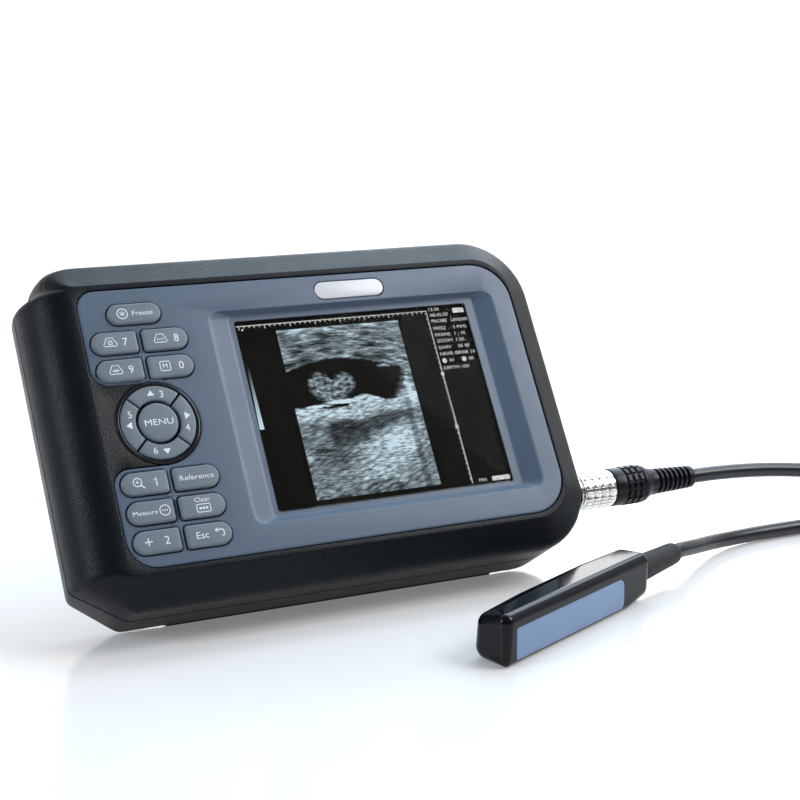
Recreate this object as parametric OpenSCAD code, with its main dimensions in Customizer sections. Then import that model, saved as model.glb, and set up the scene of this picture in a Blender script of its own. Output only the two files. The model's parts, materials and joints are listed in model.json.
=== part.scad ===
// Hand-held veterinary ultrasound scanner with its rectal probe on a coiled cable.
// The scanner leans back on a rubber foot strip and a fold-out stand leg.
// Frame: +X to the right, +Y towards the back, +Z up; the origin is the middle
// of the foot strip's underside, on the surface that the scanner stands on.
// Case pieces are drawn in the face frame: x right, y up the face, z out of it,
// with its origin in the middle of the display.

/* [Case] */
// Distance from the middle of the display to the left edge of the grip
case_left = 146; // [143:0.5:149]
// Distance from the middle of the display to the right side
case_right = 92; // [90:0.5:94]
// Distance from the middle of the display to the top edge
case_top = 74.5; // [73.5:0.5:76]
// Distance from the middle of the display to the bottom edge
case_bottom = 76; // [75:0.5:77]
// Depth of the case from face to back
case_depth = 43; // [42:0.5:45]
// Thickness of the case walls
wall = 2.6; // [2:0.1:3]
// Angle at which the scanner leans back from upright
lean = 32.2; // [25:0.1:38]

/* [Display] */
// Width of the lit area
lcd_w = 115.2; // [114:0.1:116]
// Height of the lit area
lcd_h = 86.4; // [85:0.1:87]
// Depth of the sloped recess round the display
recess_depth = 3.6; // [3:0.1:4]

/* [Keys] */
// Width of a key
key_w = 20; // [19:0.1:20.6]
// Height of a key
key_h = 10; // [9:0.1:10.6]
// Distance between the two columns of keys
key_pitch_x = 22; // [21.6:0.1:22.4]
// Distance between rows of keys
key_pitch_y = 12.3; // [12:0.1:12.6]
// Height of a key above the panel
key_rise = 1.5; // [1:0.1:2]
// How far a key can be pressed
key_travel = 0.8; // [0.5:0.1:1]
// Outer radius of the four-way pad
pad_r = 15.9; // [15.5:0.1:16]
// Radius of the round menu key
menu_r = 8.4; // [8:0.1:8.5]

/* [Stand] */
// Width of the stand leg
leg_w = 80; // [70:1:80]
// Thickness of the stand leg
leg_t = 4; // [3.6:0.1:4]
// Angle that the stand leg opens from the back of the case
leg_open = 57; // [50:1:60]

/* [Probe] */
// Length of the probe body
probe_len = 111; // [104:1:116]
// Width of the probe body
probe_w = 18; // [17:0.5:20]
// Height of the probe body
probe_h = 21; // [20:0.5:23]
// Length of the acoustic lens
lens_len = 80; // [70:1:84]
// Height of the acoustic lens
lens_h = 12.8; // [11:0.2:13]

/* [Cable] */
// Diameter of the probe cable
cable_d = 7; // [6.5:0.1:7]

/* [Hidden] */
eps = 0.01;

// Colours
case_black = [0.05, 0.05, 0.06];
panel_blue = [0.27, 0.32, 0.44];
key_grey = [0.33, 0.36, 0.40];

// Case: depth levels of its outline
parting = 22;          // depth of the line between the two shells
gasket_t = 0.8;        // thickness of the gasket in that line
bevel_w = 12.5;        // width of the sloped border round the face
bevel_d = 8;           // depth over which the border slopes
corner_r = 30;         // radius of the two right-hand corners
grip_flat = 127;       // where the flat face ends and the grip starts to curve
grip_z = 21;           // depth at which the grip is widest
grip_back = 5;         // how far it draws in from there to the back
grip_top = 60.5;       // upper end of the grip
grip_bottom = 61;      // lower end of the grip
cut_x = 124.5;         // where the cut corners at the left meet top and bottom
// Points of the upper cut corner: how far along it and how far out, per its length
crest = [[0, 0], [0.26, 0.118], [0.46, 0.147], [0.69, -0.04], [1, 0]];
foot_z = 38.5;         // depth at which the back edge is chamfered
back_cut = (case_depth - foot_z) * tan(lean);
foot_t = 1;            // how far the foot strip stands proud

// Face frame placed on the surface
x_mid = 27;
foot_mid_y = case_bottom - back_cut / 2;
foot_mid_z = (foot_z + case_depth) / 2;
face_y = foot_mid_y * sin(lean) - foot_mid_z * cos(lean);
face_z = case_bottom * cos(lean) + foot_z * sin(lean) + foot_t;

// Front panel
panel_t = 2.4;
panel_gap = 0.4;
panel_l = 125.3;
panel_rgt = 78.4;
panel_top = 59.4;
panel_bot = 60.9;
front_wall = 5;        // thickness of the case front behind the panel's pocket
pocket_d = 2.6;
pad_x = -101.7;
pad_y = -0.9;
ring_r = 18.2;         // radius of the panel's cut-out round the pad
lobe_r = 7;

// Display recess: rim at the face, lip at the window
rim = [-69.7, 68.5, -49.3, 46];
lip = [-60, 60, -46, 45.2];
window_open = [lcd_w + 2.2, lcd_h + 2.2];
lip_t = 0.8;
window_t = 0.8;
tub_wall = 1.6;
module_w = 130;
module_h = 100;
module_t = 7.5;
module_z = -(recess_depth + lip_t + window_t + 0.1);

// Keys: the caps pass through the panel, their flanges stay below it
key_gap = 0.35;
flange = 0.8;
flange_top = -2.9;
key_base = -4.2;
col_l = pad_x - key_pitch_x / 2 - 0.3;
col_r = col_l + key_pitch_x;
row_top = 47.7;
row_7 = 35.3;
row_9 = row_7 - key_pitch_y;
row_1 = -26;
row_m = row_1 - key_pitch_y;
row_2 = row_m - key_pitch_y;
arc_in = 9.6;
arc_gap = 0.4;
membrane_z = key_base - key_travel - 0.4;
membrane_t = 1;
dome_t = 0.4;
board_t = 1.6;

// Inside
main_z = -16;
battery_box = [-118, -64, -40, 66];   // x from, x to, y from, y to
battery_z = [-39.6, -24.6];
door_x = [-122, -60];
door_bottom = -46;
door_rail = 1.5;
screw_places = [[-131, 48], [-131, -50], [-22, 65], [-57, -66], [74, 58], [74, -60]];
post_top = -6;         // the front shell's screw posts end inside its face
board_places = [[-44, 44], [64, 44], [-44, -44], [64, -44]];

// Port block on the right side
port_x = [84, 94.5];
port_y = [-57, 53];
port_z = [-34, -12];
port_r = 5;
port_wall = 1.9;

// Stand
leg_x = -9;
hinge_y = 24;
hinge_z = -39.6;
barrel_r = 3.2;
barrel_l = 60;
pin_r = 1.5;
ear_w = 6;
leg_out = 3.2;         // distance from the hinge axis to the leg's outer face
leg_tilt = leg_open - lean;
hinge = [x_mid + leg_x,
         face_y + hinge_y * sin(lean) - hinge_z * cos(lean),
         face_z + hinge_y * cos(lean) + hinge_z * sin(lean)];
leg_len = hinge[2] / cos(leg_tilt);
foot_len = 11;
recess_t = 4.4;

// Plug: stations along +X from the case's right side
plug_y = -2;
plug_z = 33;
socket_x = x_mid + port_x[1];
collar_x = [124, 141.6];
body_x = [141.9, 166.6];
boot_end = 188.5;
nose_r = 6.5;
collar_r = 8.7;
body_r = 9.1;
nut_r = 7;
tail_r = 5.2;          // threaded tail of the socket, for its nut

// Cable: route points chosen by hand, in order from the plug to the probe
lead_route = [
    [188.5, -2, 33], [204, -2, 32.9], [220, -2.6, 32.3], [236, -3.8, 31.2],
    [252, -5.2, 29.4], [268, -6, 27], [284, -6.4, 24.3], [300, -6.5, 21.7],
    [316, -6.5, 19.6], [332, -6.5, 18.1]];
tail_route = [
    [306.9, -37.1, 3.5], [302.4, -28.2, 3.5], [295.3, -21.1, 3.5],
    [286.4, -16.6, 3.5], [276.5, -15, 3.5], [262, -14.4, 3.5],
    [248, -14.1, 3.5], [234, -13.8, 3.5], [219.5, -14.2, 3.6], [206, -16, 4],
    [193, -19.6, 5], [181, -25.2, 6.6], [169, -32.1, 8.6], [158.4, -37.5, 10.3],
    [152.4, -40.28, 10.5]];
cable_sides = 10;
coil_at = [350, -48];
coil_r = [31, 45];
coil_h = 3 * cable_d;

// Probe: origin at the nose, on the surface; x along it, -y is the lens side
probe_at = [20, -102];
probe_turn = 25;
probe_wall = 2;
probe_split = 3;       // where the two halves of its body meet
probe_boot_len = 34.5;
probe_boot_z = 10.5;
lens_x = 7.5;
lens_z = 2.2;

// ---------- helpers ----------

module on_face() {
    translate([x_mid, face_y, face_z])
        rotate([90 - lean, 0, 0])
            children();
}

module on_leg() {
    translate(hinge)
        rotate([leg_tilt, 0, 0])
            children();
}

module on_plug(x) {
    translate([x, plug_y, plug_z])
        rotate([0, 90, 0])
            children();
}

module on_probe() {
    translate([probe_at[0], probe_at[1], 0])
        rotate([0, 0, probe_turn])
            children();
}

// Box given by its ranges along x, y and z
module span(x, y, z) {
    translate([x[0], y[0], z[0]])
        cube([x[1] - x[0], y[1] - y[0], z[1] - z[0]]);
}

function arc(cx, cy, rx, ry, a0, a1, n) =
    [for (i = [0:n]) let (a = a0 + (a1 - a0) * i / n) [cx + rx * cos(a), cy + ry * sin(a)]];

// Outline of a box with the same radius at its four corners
function soft_box(x0, x1, y0, y1, r, n) = concat(
    arc(x1 - r, y1 - r, r, r, 0, 90, n),
    arc(x0 + r, y1 - r, r, r, 90, 180, n),
    arc(x0 + r, y0 + r, r, r, 180, 270, n),
    arc(x1 - r, y0 + r, r, r, 270, 360, n));

// Round-ended and square-ended key outline, its round end to the left
module key_outline(w, h, grow) {
    r = h / 2 + grow;
    small = 1.5 + grow;
    right = w / 2 + grow;
    translate([-w / 2 + h / 2, 0])
        circle(r = r, $fn = 48);
    translate([-w / 2 + h / 2, -r])
        square([right - small + w / 2 - h / 2, 2 * r]);
    translate([right - small - eps, -r + small])
        square([small + eps, 2 * (r - small)]);
    for (s = [-1, 1])
        translate([right - small, s * (r - small)])
            circle(r = small, $fn = 32);
}

// Round-ended outline on both sides
module pill_outline(w, h) {
    square([w - h, h], center = true);
    for (s = [-1, 1])
        translate([s * (w - h) / 2, 0])
            circle(r = h / 2, $fn = 48);
}

// ---------- case ----------

function bevel_in(z) = z > -bevel_d ? bevel_w * (1 + z / bevel_d) : 0;
function grip_x(z) = z > -grip_z
    ? grip_flat + (case_left - grip_flat) * sqrt(1 - pow((z + grip_z) / grip_z, 2))
    : case_left - grip_back * pow((z + grip_z) / (grip_z - case_depth), 2);

// Outline of the case at a depth, with its walls drawn in by t
function case_outline(z, t) = let (
        cut = z < -foot_z - eps ? back_cut : bevel_in(z),
        top = case_top - cut - t,
        bot = -case_bottom + cut + t,
        right = case_right - cut - t,
        left = grip_x(z) - t - (z < -foot_z - eps ? back_cut : 0),
        r = corner_r - cut - t,
        a = [-cut_x + t, top],
        b = [-left, grip_top - t / 2],
        out = [b[1] - a[1], a[0] - b[0]]) concat(
    arc(right - r, top - r, r, r, 0, 90, 8),
    [for (c = crest) a + c[0] * (b - a) + c[1] * out],
    [[-left, -grip_bottom + t / 2], [-cut_x + t, bot]],
    arc(right - r, bot + r, r, r, 270, 360, 8));

// Depths at which the outline is drawn: face, grip curve, border, sides, back
case_depths = [0, -0.5, -1.8, -4, -bevel_d, -11, -15, -grip_z, -30, -foot_z, -case_depth];

// Closed body through the outlines; t draws its walls in, front its face
module case_body(t, front) {
    deep = (case_depth - front - t) / case_depth;
    n = len(case_outline(0, t));
    last = len(case_depths) - 1;
    points = [for (z = case_depths) each [for (p = case_outline(z, t)) [p[0], p[1], z * deep - front]]];
    walls = [for (i = [0:last - 1], k = [0:n - 1]) let (
            a = i * n + k,
            b = i * n + (k + 1) % n) each [[a, b, b + n], [a, b + n, a + n]]];
    face = [for (k = [n - 1:-1:0]) k];
    back = [for (k = [0:n - 1]) last * n + k];
    polyhedron(points, concat(walls, [face, back]));
}

panel_outline = concat(
    arc(-panel_l + 8, panel_top - 8, 8, 8, 180, 90, 6),
    arc(panel_rgt - 18, panel_top - 18, 18, 18, 90, 0, 8),
    arc(panel_rgt - 18, -panel_bot + 18, 18, 18, 0, -90, 8),
    arc(-panel_l + 12, -panel_bot + 12, 12, 12, -90, -180, 6),
    arc(-panel_l + lobe_r, pad_y - ring_r - lobe_r, lobe_r, lobe_r, 180, 90, 5),
    arc(pad_x, pad_y, ring_r, ring_r, -90, 90, 24),
    arc(-panel_l + lobe_r, pad_y + ring_r + lobe_r, lobe_r, lobe_r, -90, -180, 5));

module recess_shape(grow, top, bottom) {
    hull() {
        translate([0, 0, top])
            linear_extrude(eps)
                polygon(soft_box(rim[0] - grow, rim[1] + grow, rim[2] - grow, rim[3] + grow, 5 + grow, 5));
        translate([0, 0, bottom])
            linear_extrude(eps)
                polygon(soft_box(lip[0] - grow, lip[1] + grow, lip[2] - grow, lip[3] + grow, 2 + grow, 5));
    }
}

module port_outline(grow) {
    z_mid = (port_z[0] + port_z[1]) / 2;
    y_mid = (port_y[0] + port_y[1]) / 2;
    translate([-z_mid, y_mid])
        polygon(soft_box(
            -(port_z[1] - port_z[0]) / 2 - grow, (port_z[1] - port_z[0]) / 2 + grow,
            -(port_y[1] - port_y[0]) / 2 - grow, (port_y[1] - port_y[0]) / 2 + grow,
            port_r + grow, 6));
}

module port_window() {
    translate([port_x[0] - 1, 0, 0])
        rotate([0, 90, 0])
            linear_extrude(30)
                port_outline(0.2);
}

module front_shell() {
    color(case_black)
    on_face()
    difference() {
        union() {
            difference() {
                intersection() {
                    case_body(0, 0);
                    span([-200, 200], [-100, 100], [-parting + gasket_t / 2, 5]);
                }
                case_body(wall, front_wall);
            }
            for (p = screw_places)
                translate([p[0], p[1], -parting + gasket_t / 2])
                    cylinder(r = 3.6, h = parting - gasket_t / 2 + post_top, $fn = 32);
        }
        // pocket for the panel
        translate([0, 0, -pocket_d])
            linear_extrude(10)
                offset(delta = panel_gap)
                    polygon(panel_outline);
        // openings behind the panel: display, two groups of keys
        span([rim[0] - 2.4, rim[1] + 2.4], [rim[2] - 2.4, rim[3] + 2.4], [-10, 5]);
        for (y = [[row_9 - 6.6, 54], [-57.4, row_1 + 6.6]])
            span([-124, -79.6], y, [-8, -2]);
        // well of the four-way pad and its key
        translate([pad_x, pad_y, -8])
            cylinder(r = pad_r + 0.5, h = 12, $fn = 96);
        translate([pad_x, pad_y, -8])
            cylinder(r = pad_r + 1.5, h = 8 - pocket_d, $fn = 96);
        translate([pad_x, pad_y, -1.5])
            cylinder(r = ring_r - 0.1, h = 4, $fn = 96);
        for (p = screw_places)
            translate([p[0], p[1], -parting - 1])
                cylinder(r = 1.5, h = 12.5, $fn = 32);
        port_window();
    }
}

module rear_shell() {
    color(case_black)
    difference() {
        on_face()
        difference() {
            union() {
                difference() {
                    intersection() {
                        case_body(0, 0);
                        span([-200, 200], [-100, 100], [-60, -parting - gasket_t / 2]);
                    }
                    case_body(wall, front_wall);
                }
                // thick back round the battery door and the stand's recess
                intersection() {
                    case_body(1, 0);
                    union() {
                        span([door_x[0] - 4, door_x[1] + 4], [door_bottom - 4, 80], [-case_depth + 1, -38.6]);
                        span([leg_x - leg_w / 2 - 2.5, leg_x + leg_w / 2 + 2.5], [-74, hinge_y + 6],
                             [-case_depth + 1, -36.6]);
                        span([leg_x - leg_w / 2 - 2.5, leg_x + leg_w / 2 + 2.5], [hinge_y - 7, hinge_y + 6],
                             [-case_depth + 1, -34]);
                        battery_tray();
                    }
                }
                for (p = screw_places)
                    translate([p[0], p[1], -case_depth + 1])
                        cylinder(r = 4.4, h = case_depth - parting - gasket_t / 2 - 1, $fn = 32);
                for (p = board_places)
                    translate([p[0], p[1], -case_depth + 1])
                        cylinder(r = 3, h = case_depth + main_z - board_t - 1, $fn = 32);
            }
            for (p = screw_places) {
                translate([p[0], p[1], -case_depth - 1])
                    cylinder(r = 1.7, h = 30, $fn = 32);
                translate([p[0], p[1], -case_depth - 1])
                    cylinder(r = 3.1, h = 4, $fn = 32);
            }
            for (p = board_places)
                translate([p[0], p[1], main_z - board_t - 6])
                    cylinder(r = 1.1, h = 10, $fn = 32);
            // battery bay and the slot that its door slides in
            span([battery_box[0] - 0.8, battery_box[1] + 0.8],
                 [battery_box[2] - 2.4, battery_box[3] + 0.8], [-50, battery_z[1] + 0.4]);
            span([door_x[0] - 0.2, door_x[1] + 0.2], [door_bottom - 0.2, 90], [-50, -41.1]);
            span([door_x[0] - door_rail - 0.2, door_x[1] + door_rail + 0.2],
                 [door_bottom - 0.2, 90], [-41.3, -40.1]);
            // recess of the stand leg, with a finger notch and its hinge
            span([leg_x - leg_w / 2 - 0.5, leg_x + leg_w / 2 + 0.5],
                 [hinge_y - leg_len - 2, hinge_y - 3.8], [-50, -case_depth + recess_t]);
            translate([leg_x + leg_w / 2, hinge_y - leg_len + 22, -case_depth])
                cylinder(r = 10, h = 3, $fn = 48);
            span([leg_x - barrel_l / 2 - 0.4, leg_x + barrel_l / 2 + 0.4],
                 [hinge_y - 4.4, hinge_y + barrel_r + 0.6], [-50, hinge_z + barrel_r + 0.6]);
            translate([leg_x - barrel_l / 2 - ear_w, hinge_y, hinge_z])
                rotate([0, 90, 0])
                    cylinder(r = pin_r + 0.02, h = barrel_l + 2 * ear_w, $fn = 48);
            port_window();
        }
        // groove of the foot strip
        span([x_mid - 103, x_mid + 52], [-2.1, 2.1], [-5, foot_t + 1.02]);
    }
}

module battery_tray() {
    t = 1.6;
    span([battery_box[0] - 0.8 - t, battery_box[1] + 0.8 + t],
         [battery_box[2] - 2.4 - t, battery_box[3] + 0.8 + t],
         [-case_depth + 1, -parting - gasket_t / 2]);
}

module case_gasket() {
    color("dimgray")
    on_face()
    difference() {
        intersection() {
            case_body(0.9, 0);
            span([-200, 200], [-100, 100], [-parting - gasket_t / 2, -parting + gasket_t / 2]);
        }
        case_body(wall, front_wall);
        port_window();
    }
}

module port_block() {
    color([0.07, 0.07, 0.08])
    difference() {
        on_face()
        difference() {
            translate([port_x[0], 0, 0])
                rotate([0, 90, 0])
                    linear_extrude(port_x[1] - port_x[0])
                        port_outline(0);
            // hollow behind its face, for the socket's nut
            span([port_x[0] - 1, port_x[1] - 5], [port_y[0] + 1.2, port_y[1] - 3],
                 [port_z[0] + port_wall, port_z[1] - port_wall]);
        }
        on_plug(x_mid + port_x[0] - 2)
            cylinder(r = nose_r + 0.05, h = 20, $fn = 64);
        on_plug(socket_x - 0.8)
            cylinder(r = 9.4, h = 5, $fn = 64);
    }
}

module front_panel() {
    color(panel_blue)
    on_face()
    difference() {
        union() {
            translate([0, 0, -panel_t])
                linear_extrude(panel_t)
                    polygon(panel_outline);
            intersection() {
                recess_shape(tub_wall, -1, -recess_depth - lip_t);
                span([-100, 100], [-80, 80], [-recess_depth - lip_t, -0.5]);
            }
            panel_cross(row_7 - key_pitch_y / 2);
            panel_cross(row_1 - key_pitch_y / 2);
            panel_cross(row_m - key_pitch_y / 2);
        }
        recess_shape(0, 0.005, -recess_depth);
        span([-window_open[0] / 2, window_open[0] / 2],
             [-window_open[1] / 2, window_open[1] / 2], [-10, 5]);
        for (k = key_table)
            translate([k[1], k[2], -10])
                linear_extrude(20)
                    mirror([k[3], 0])
                        key_outline(k[4], k[5], key_gap);
        translate([pad_x - 0.3, row_top, -10])
            linear_extrude(20)
                pill_outline(23.5 + 2 * key_gap, 9.4 + 2 * key_gap);
        translate([-1.5, 52, -0.8])
            linear_extrude(5)
                pill_outline(33.6, 8.2);
    }
}

// Low ribs that cross between four keys
module panel_cross(y) {
    mid = (col_l + col_r) / 2;
    translate([mid, y, 0.1])
        cube([0.5, 2 * key_pitch_y - 3, 0.4], center = true);
    translate([mid, y, 0.1])
        cube([6.5, 0.5, 0.4], center = true);
}

module display_window() {
    color([0.3, 0.35, 0.4, 0.35])
    on_face()
        translate([0, 0, -recess_depth - lip_t - window_t])
            linear_extrude(window_t)
                polygon(soft_box(-60.8, 60.8, -46.2, 46.2, 1.5, 4));
}

module display_module() {
    color([0.02, 0.02, 0.02])
    on_face()
    difference() {
        translate([-module_w / 2, -module_h / 2, module_z - module_t])
            cube([module_w, module_h, module_t]);
        for (sx = [-1, 1], sy = [-1, 1])
            translate([sx * (module_w / 2 - 3), sy * (module_h / 2 - 2.6), module_z - module_t - 1])
                cylinder(r = 1.2, h = 20, $fn = 24);
    }
}

module badge_plate() {
    color("white")
    on_face()
        translate([-1.5, 52, -0.8])
            linear_extrude(1)
                pill_outline(33.4, 8);
}

// ---------- keys ----------

// name, x, y, mirrored, width, height
key_table = [
    ["7", col_l, row_7, 0, key_w, key_h], ["8", col_r, row_7, 1, key_w, key_h],
    ["9", col_l, row_9, 0, key_w, key_h], ["0", col_r, row_9, 1, key_w, key_h],
    ["1", col_l, row_1, 0, key_w, key_h], ["reference", col_r, row_1, 1, key_w, key_h],
    ["measure", col_l, row_m, 0, key_w, key_h], ["clear", col_r, row_m, 1, key_w, key_h],
    ["2", col_l, row_2, 0, key_w, key_h], ["escape", col_r, row_2, 1, key_w, key_h]];

module key_cap(i) {
    k = key_table[i];
    color(key_grey)
    on_face()
        translate([k[1], k[2], 0])
            mirror([k[3], 0, 0]) {
                translate([0, 0, flange_top])
                    linear_extrude(key_rise - flange_top)
                        key_outline(k[4], k[5], 0);
                translate([0, 0, key_base])
                    linear_extrude(flange_top - key_base)
                        key_outline(k[4], k[5], flange);
            }
}

module key_freeze() {
    color(key_grey)
    on_face()
        translate([pad_x - 0.3, row_top, 0]) {
            translate([0, 0, flange_top])
                linear_extrude(key_rise - flange_top)
                    pill_outline(23.5, 9.4);
            translate([0, 0, key_base])
                linear_extrude(flange_top - key_base)
                    pill_outline(23.5 + 2 * flange, 9.4 + 2 * flange);
        }
}

// One quarter of the four-way pad, turned to its side
module pad_key(turn) {
    color(key_grey)
    on_face()
        translate([pad_x, pad_y, 0])
            rotate([0, 0, turn])
                intersection() {
                    difference() {
                        union() {
                            translate([0, 0, key_base])
                                cylinder(r = pad_r, h = key_rise - 0.2 - key_base, $fn = 96);
                            translate([0, 0, key_base])
                                cylinder(r = pad_r + 1.1, h = flange_top - key_base, $fn = 96);
                        }
                        translate([0, 0, -10])
                            cylinder(r = arc_in, h = 20, $fn = 96);
                    }
                    translate([arc_gap * sqrt(2), 0, -10])
                        linear_extrude(20)
                            polygon([[0, 0], [30, -30], [30, 30]]);
                }
}

module key_menu() {
    color(key_grey)
    on_face()
        translate([pad_x, pad_y, key_base]) {
            cylinder(r = menu_r, h = key_rise - key_base, $fn = 96);
            cylinder(r = menu_r + 0.5, h = flange_top - key_base, $fn = 96);
        }
}

module pad_ring() {
    color("black")
    on_face()
        translate([pad_x, pad_y, -1.5])
            difference() {
                cylinder(r = ring_r - 0.3, h = 1.9, $fn = 96);
                translate([0, 0, -1])
                    cylinder(r = pad_r + 0.4, h = 5, $fn = 96);
            }
}

module key_membrane() {
    color([0.2, 0.2, 0.22])
    on_face()
        span([-124.6, -79], [-58.5, 56], [membrane_z - membrane_t, membrane_z]);
}

function switch_places() = concat(
    [for (k = key_table) [k[1], k[2]]],
    [[pad_x - 0.3, row_top], [pad_x, pad_y]],
    [for (a = [0:90:270]) [pad_x + 12.7 * cos(a), pad_y + 12.7 * sin(a)]]);

module dome_switches() {
    color("silver")
    on_face()
        for (p = switch_places())
            translate([p[0], p[1], membrane_z - membrane_t - dome_t])
                cylinder(r = 3, h = dome_t, $fn = 32);
}

module key_board() {
    top = membrane_z - membrane_t - dome_t;
    color("darkgreen")
    on_face()
        span([-124, -79.6], [-58, 55.5], [top - board_t, top]);
}

// ---------- inside ----------

module main_board() {
    color("green")
    on_face()
    difference() {
        span([-50, 70], [-50, 50], [main_z - board_t, main_z]);
        for (p = board_places)
            translate([p[0], p[1], main_z - 5])
                cylinder(r = 1.4, h = 10, $fn = 24);
    }
}

module board_chips() {
    color([0.1, 0.1, 0.1])
    on_face() {
        top = main_z - board_t;
        span([-12, 16], [-8, 20], [top - 2.2, top]);
        span([28, 48], [4, 24], [top - 1.6, top]);
        span([-36, -22], [8, 28], [top - 1.2, top]);
        for (i = [0:3])
            span([-30 + 14 * i, -20 + 14 * i], [-36, -22], [top - 1.2, top]);
        span([40, 60], [-36, -16], [top - 6, top]);
    }
}

module board_screws() {
    color("silver")
    on_face()
        for (p = board_places) {
            translate([p[0], p[1], main_z])
                cylinder(r = 2.2, h = 1.4, $fn = 24);
            translate([p[0], p[1], main_z - board_t - 5.5])
                cylinder(r = 1.05, h = board_t + 5.5, $fn = 24);
        }
}

module battery_pack() {
    color([0.1, 0.2, 0.45])
    on_face()
        span([battery_box[0], battery_box[1]], [battery_box[2], battery_box[3]], battery_z);
}

module battery_contacts() {
    color("gold")
    on_face()
        for (x = [-104, -92, -80])
            span([x, x + 4], [battery_box[2] - 2.4, battery_box[2]], [-35, -28]);
}

module battery_door() {
    color([0.06, 0.06, 0.07])
    on_face() {
        intersection() {
            case_body(0, 0);
            union() {
                span(door_x, [door_bottom, 90], [-50, -41.2]);
                span([door_x[0] - door_rail, door_x[1] + door_rail], [door_bottom, 71], [-41.2, -40.2]);
            }
        }
        // thumb ribs
        for (i = [0:4])
            span([-101, -81], [46 + 3 * i, 47.2 + 3 * i], [-case_depth - 0.6, -case_depth + 0.2]);
    }
}

module case_screws() {
    color("silver")
    on_face()
        for (p = screw_places)
            translate([p[0], p[1], -case_depth + 3])
                difference() {
                    union() {
                        translate([0, 0, -2.2])
                            cylinder(r = 2.9, h = 2.2, $fn = 32);
                        cylinder(r = 1.45, h = 28, $fn = 32);
                    }
                    translate([0, 0, -3])
                        cylinder(r = 1.3, h = 2.2, $fn = 6);
                }
}

module foot_strip() {
    color([0.1, 0.1, 0.1])
        span([x_mid - 102.8, x_mid + 51.8], [-1.9, 1.9], [0, foot_t + 1]);
}

// ---------- stand ----------

module stand_leg() {
    tongue = leg_len - foot_len;
    color(case_black)
    on_leg()
    difference() {
        union() {
            span([-leg_w / 2, leg_w / 2], [leg_out - leg_t, leg_out], [-tongue, -5.2]);
            span([-barrel_l / 2, barrel_l / 2], [leg_out - leg_t, leg_out], [-5.3, 0]);
            translate([-barrel_l / 2, 0, 0])
                rotate([0, 90, 0])
                    cylinder(r = barrel_r, h = barrel_l, $fn = 48);
            span([-leg_w / 2 + 4, leg_w / 2 - 4], [leg_out - leg_t + 1.2, leg_out - 1.2], [-tongue - 6, -tongue + 1]);
            // stiffening ribs on the outer face
            for (x = [-26, 0, 26])
                span([x - 1, x + 1], [leg_out - 0.1, leg_out + 0.2], [-tongue + 8, -14]);
        }
        translate([-barrel_l / 2 - 1, 0, 0])
            rotate([0, 90, 0])
                cylinder(r = pin_r + 0.05, h = barrel_l + 2, $fn = 48);
    }
}

module stand_foot() {
    tongue = leg_len - foot_len;
    color([0.1, 0.1, 0.1])
    difference() {
        on_leg()
        difference() {
            span([-leg_w / 2, leg_w / 2], [leg_out - leg_t, leg_out], [-tongue - 20, -tongue]);
            span([-leg_w / 2 + 4, leg_w / 2 - 4], [leg_out - leg_t + 1.2, leg_out - 1.2], [-tongue - 6, -tongue + 1]);
        }
        span([-100, 150], [40, 150], [-40, 0]);
    }
}

module stand_pin() {
    color("silver")
    translate(hinge)
        translate([-barrel_l / 2 - ear_w, 0, 0])
            rotate([0, 90, 0])
                cylinder(r = pin_r, h = barrel_l + 2 * ear_w, $fn = 48);
}

// ---------- socket and plug ----------

module probe_socket() {
    color("silver")
    difference() {
        union() {
            on_plug(socket_x - 0.8)
                cylinder(r = 9.2, h = 1.8, $fn = 64);
            on_plug(socket_x - 14)
                cylinder(r = tail_r, h = 14, $fn = 64);
            on_plug(socket_x - 5)
                cylinder(r = nose_r, h = 14, $fn = 64);
        }
        on_plug(socket_x - 4)
            cylinder(r = 5.2, h = 20, $fn = 64);
    }
}

// Slotted ring nut that clamps the socket from inside
module socket_nut() {
    color("silver")
    on_plug(socket_x - 8.2)
        difference() {
            cylinder(r = nut_r, h = 3, $fn = 64);
            translate([0, 0, -1])
                cylinder(r = tail_r + 0.05, h = 6, $fn = 64);
            for (turn = [0, 90])
                rotate([0, 0, turn])
                    cube([2 * nut_r + 2, 2, 1.6], center = true);
        }
}

module plug_collar() {
    rows = 32;
    color([0.85, 0.85, 0.83])
    difference() {
        on_plug(collar_x[0])
            cylinder(r = collar_r, h = collar_x[1] - collar_x[0], $fn = 96);
        on_plug(collar_x[0] - 1)
            cylinder(r = nose_r + 0.35, h = 40, $fn = 64);
        for (g = [3.5, 7, 10.5, 14])
            on_plug(collar_x[0] + g)
                difference() {
                    cylinder(r = collar_r + 1, h = 0.7, $fn = 96);
                    translate([0, 0, -1])
                        cylinder(r = collar_r - 0.4, h = 4, $fn = 96);
                }
        for (i = [0:rows - 1])
            on_plug(collar_x[0] + 1)
                rotate([0, 0, 360 / rows * i])
                    translate([collar_r, 0, 0])
                        translate([-0.35, -0.3, 0])
                            cube([2, 0.6, collar_x[1] - collar_x[0] - 2]);
    }
}

module plug_body() {
    color([0.04, 0.04, 0.05])
    difference() {
        union() {
            on_plug(body_x[0])
                cylinder(r = body_r, h = 17, $fn = 96);
            on_plug(body_x[0] + 17)
                cylinder(r1 = body_r, r2 = 6.4, h = body_x[1] - body_x[0] - 17, $fn = 96);
            // sleeve that the collar turns on
            on_plug(socket_x + 10)
                cylinder(r = nose_r, h = body_x[0] - socket_x - 9, $fn = 64);
        }
        // grip grooves round the body
        for (g = [6, 9.5, 13])
            on_plug(body_x[0] + g)
                difference() {
                    cylinder(r = body_r + 1, h = 1.4, $fn = 96);
                    translate([0, 0, -1])
                        cylinder(r = body_r - 0.7, h = 4, $fn = 96);
                }
        on_plug(socket_x + 9)
            cylinder(r = 5.6, h = 17, $fn = 64);
    }
}

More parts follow.
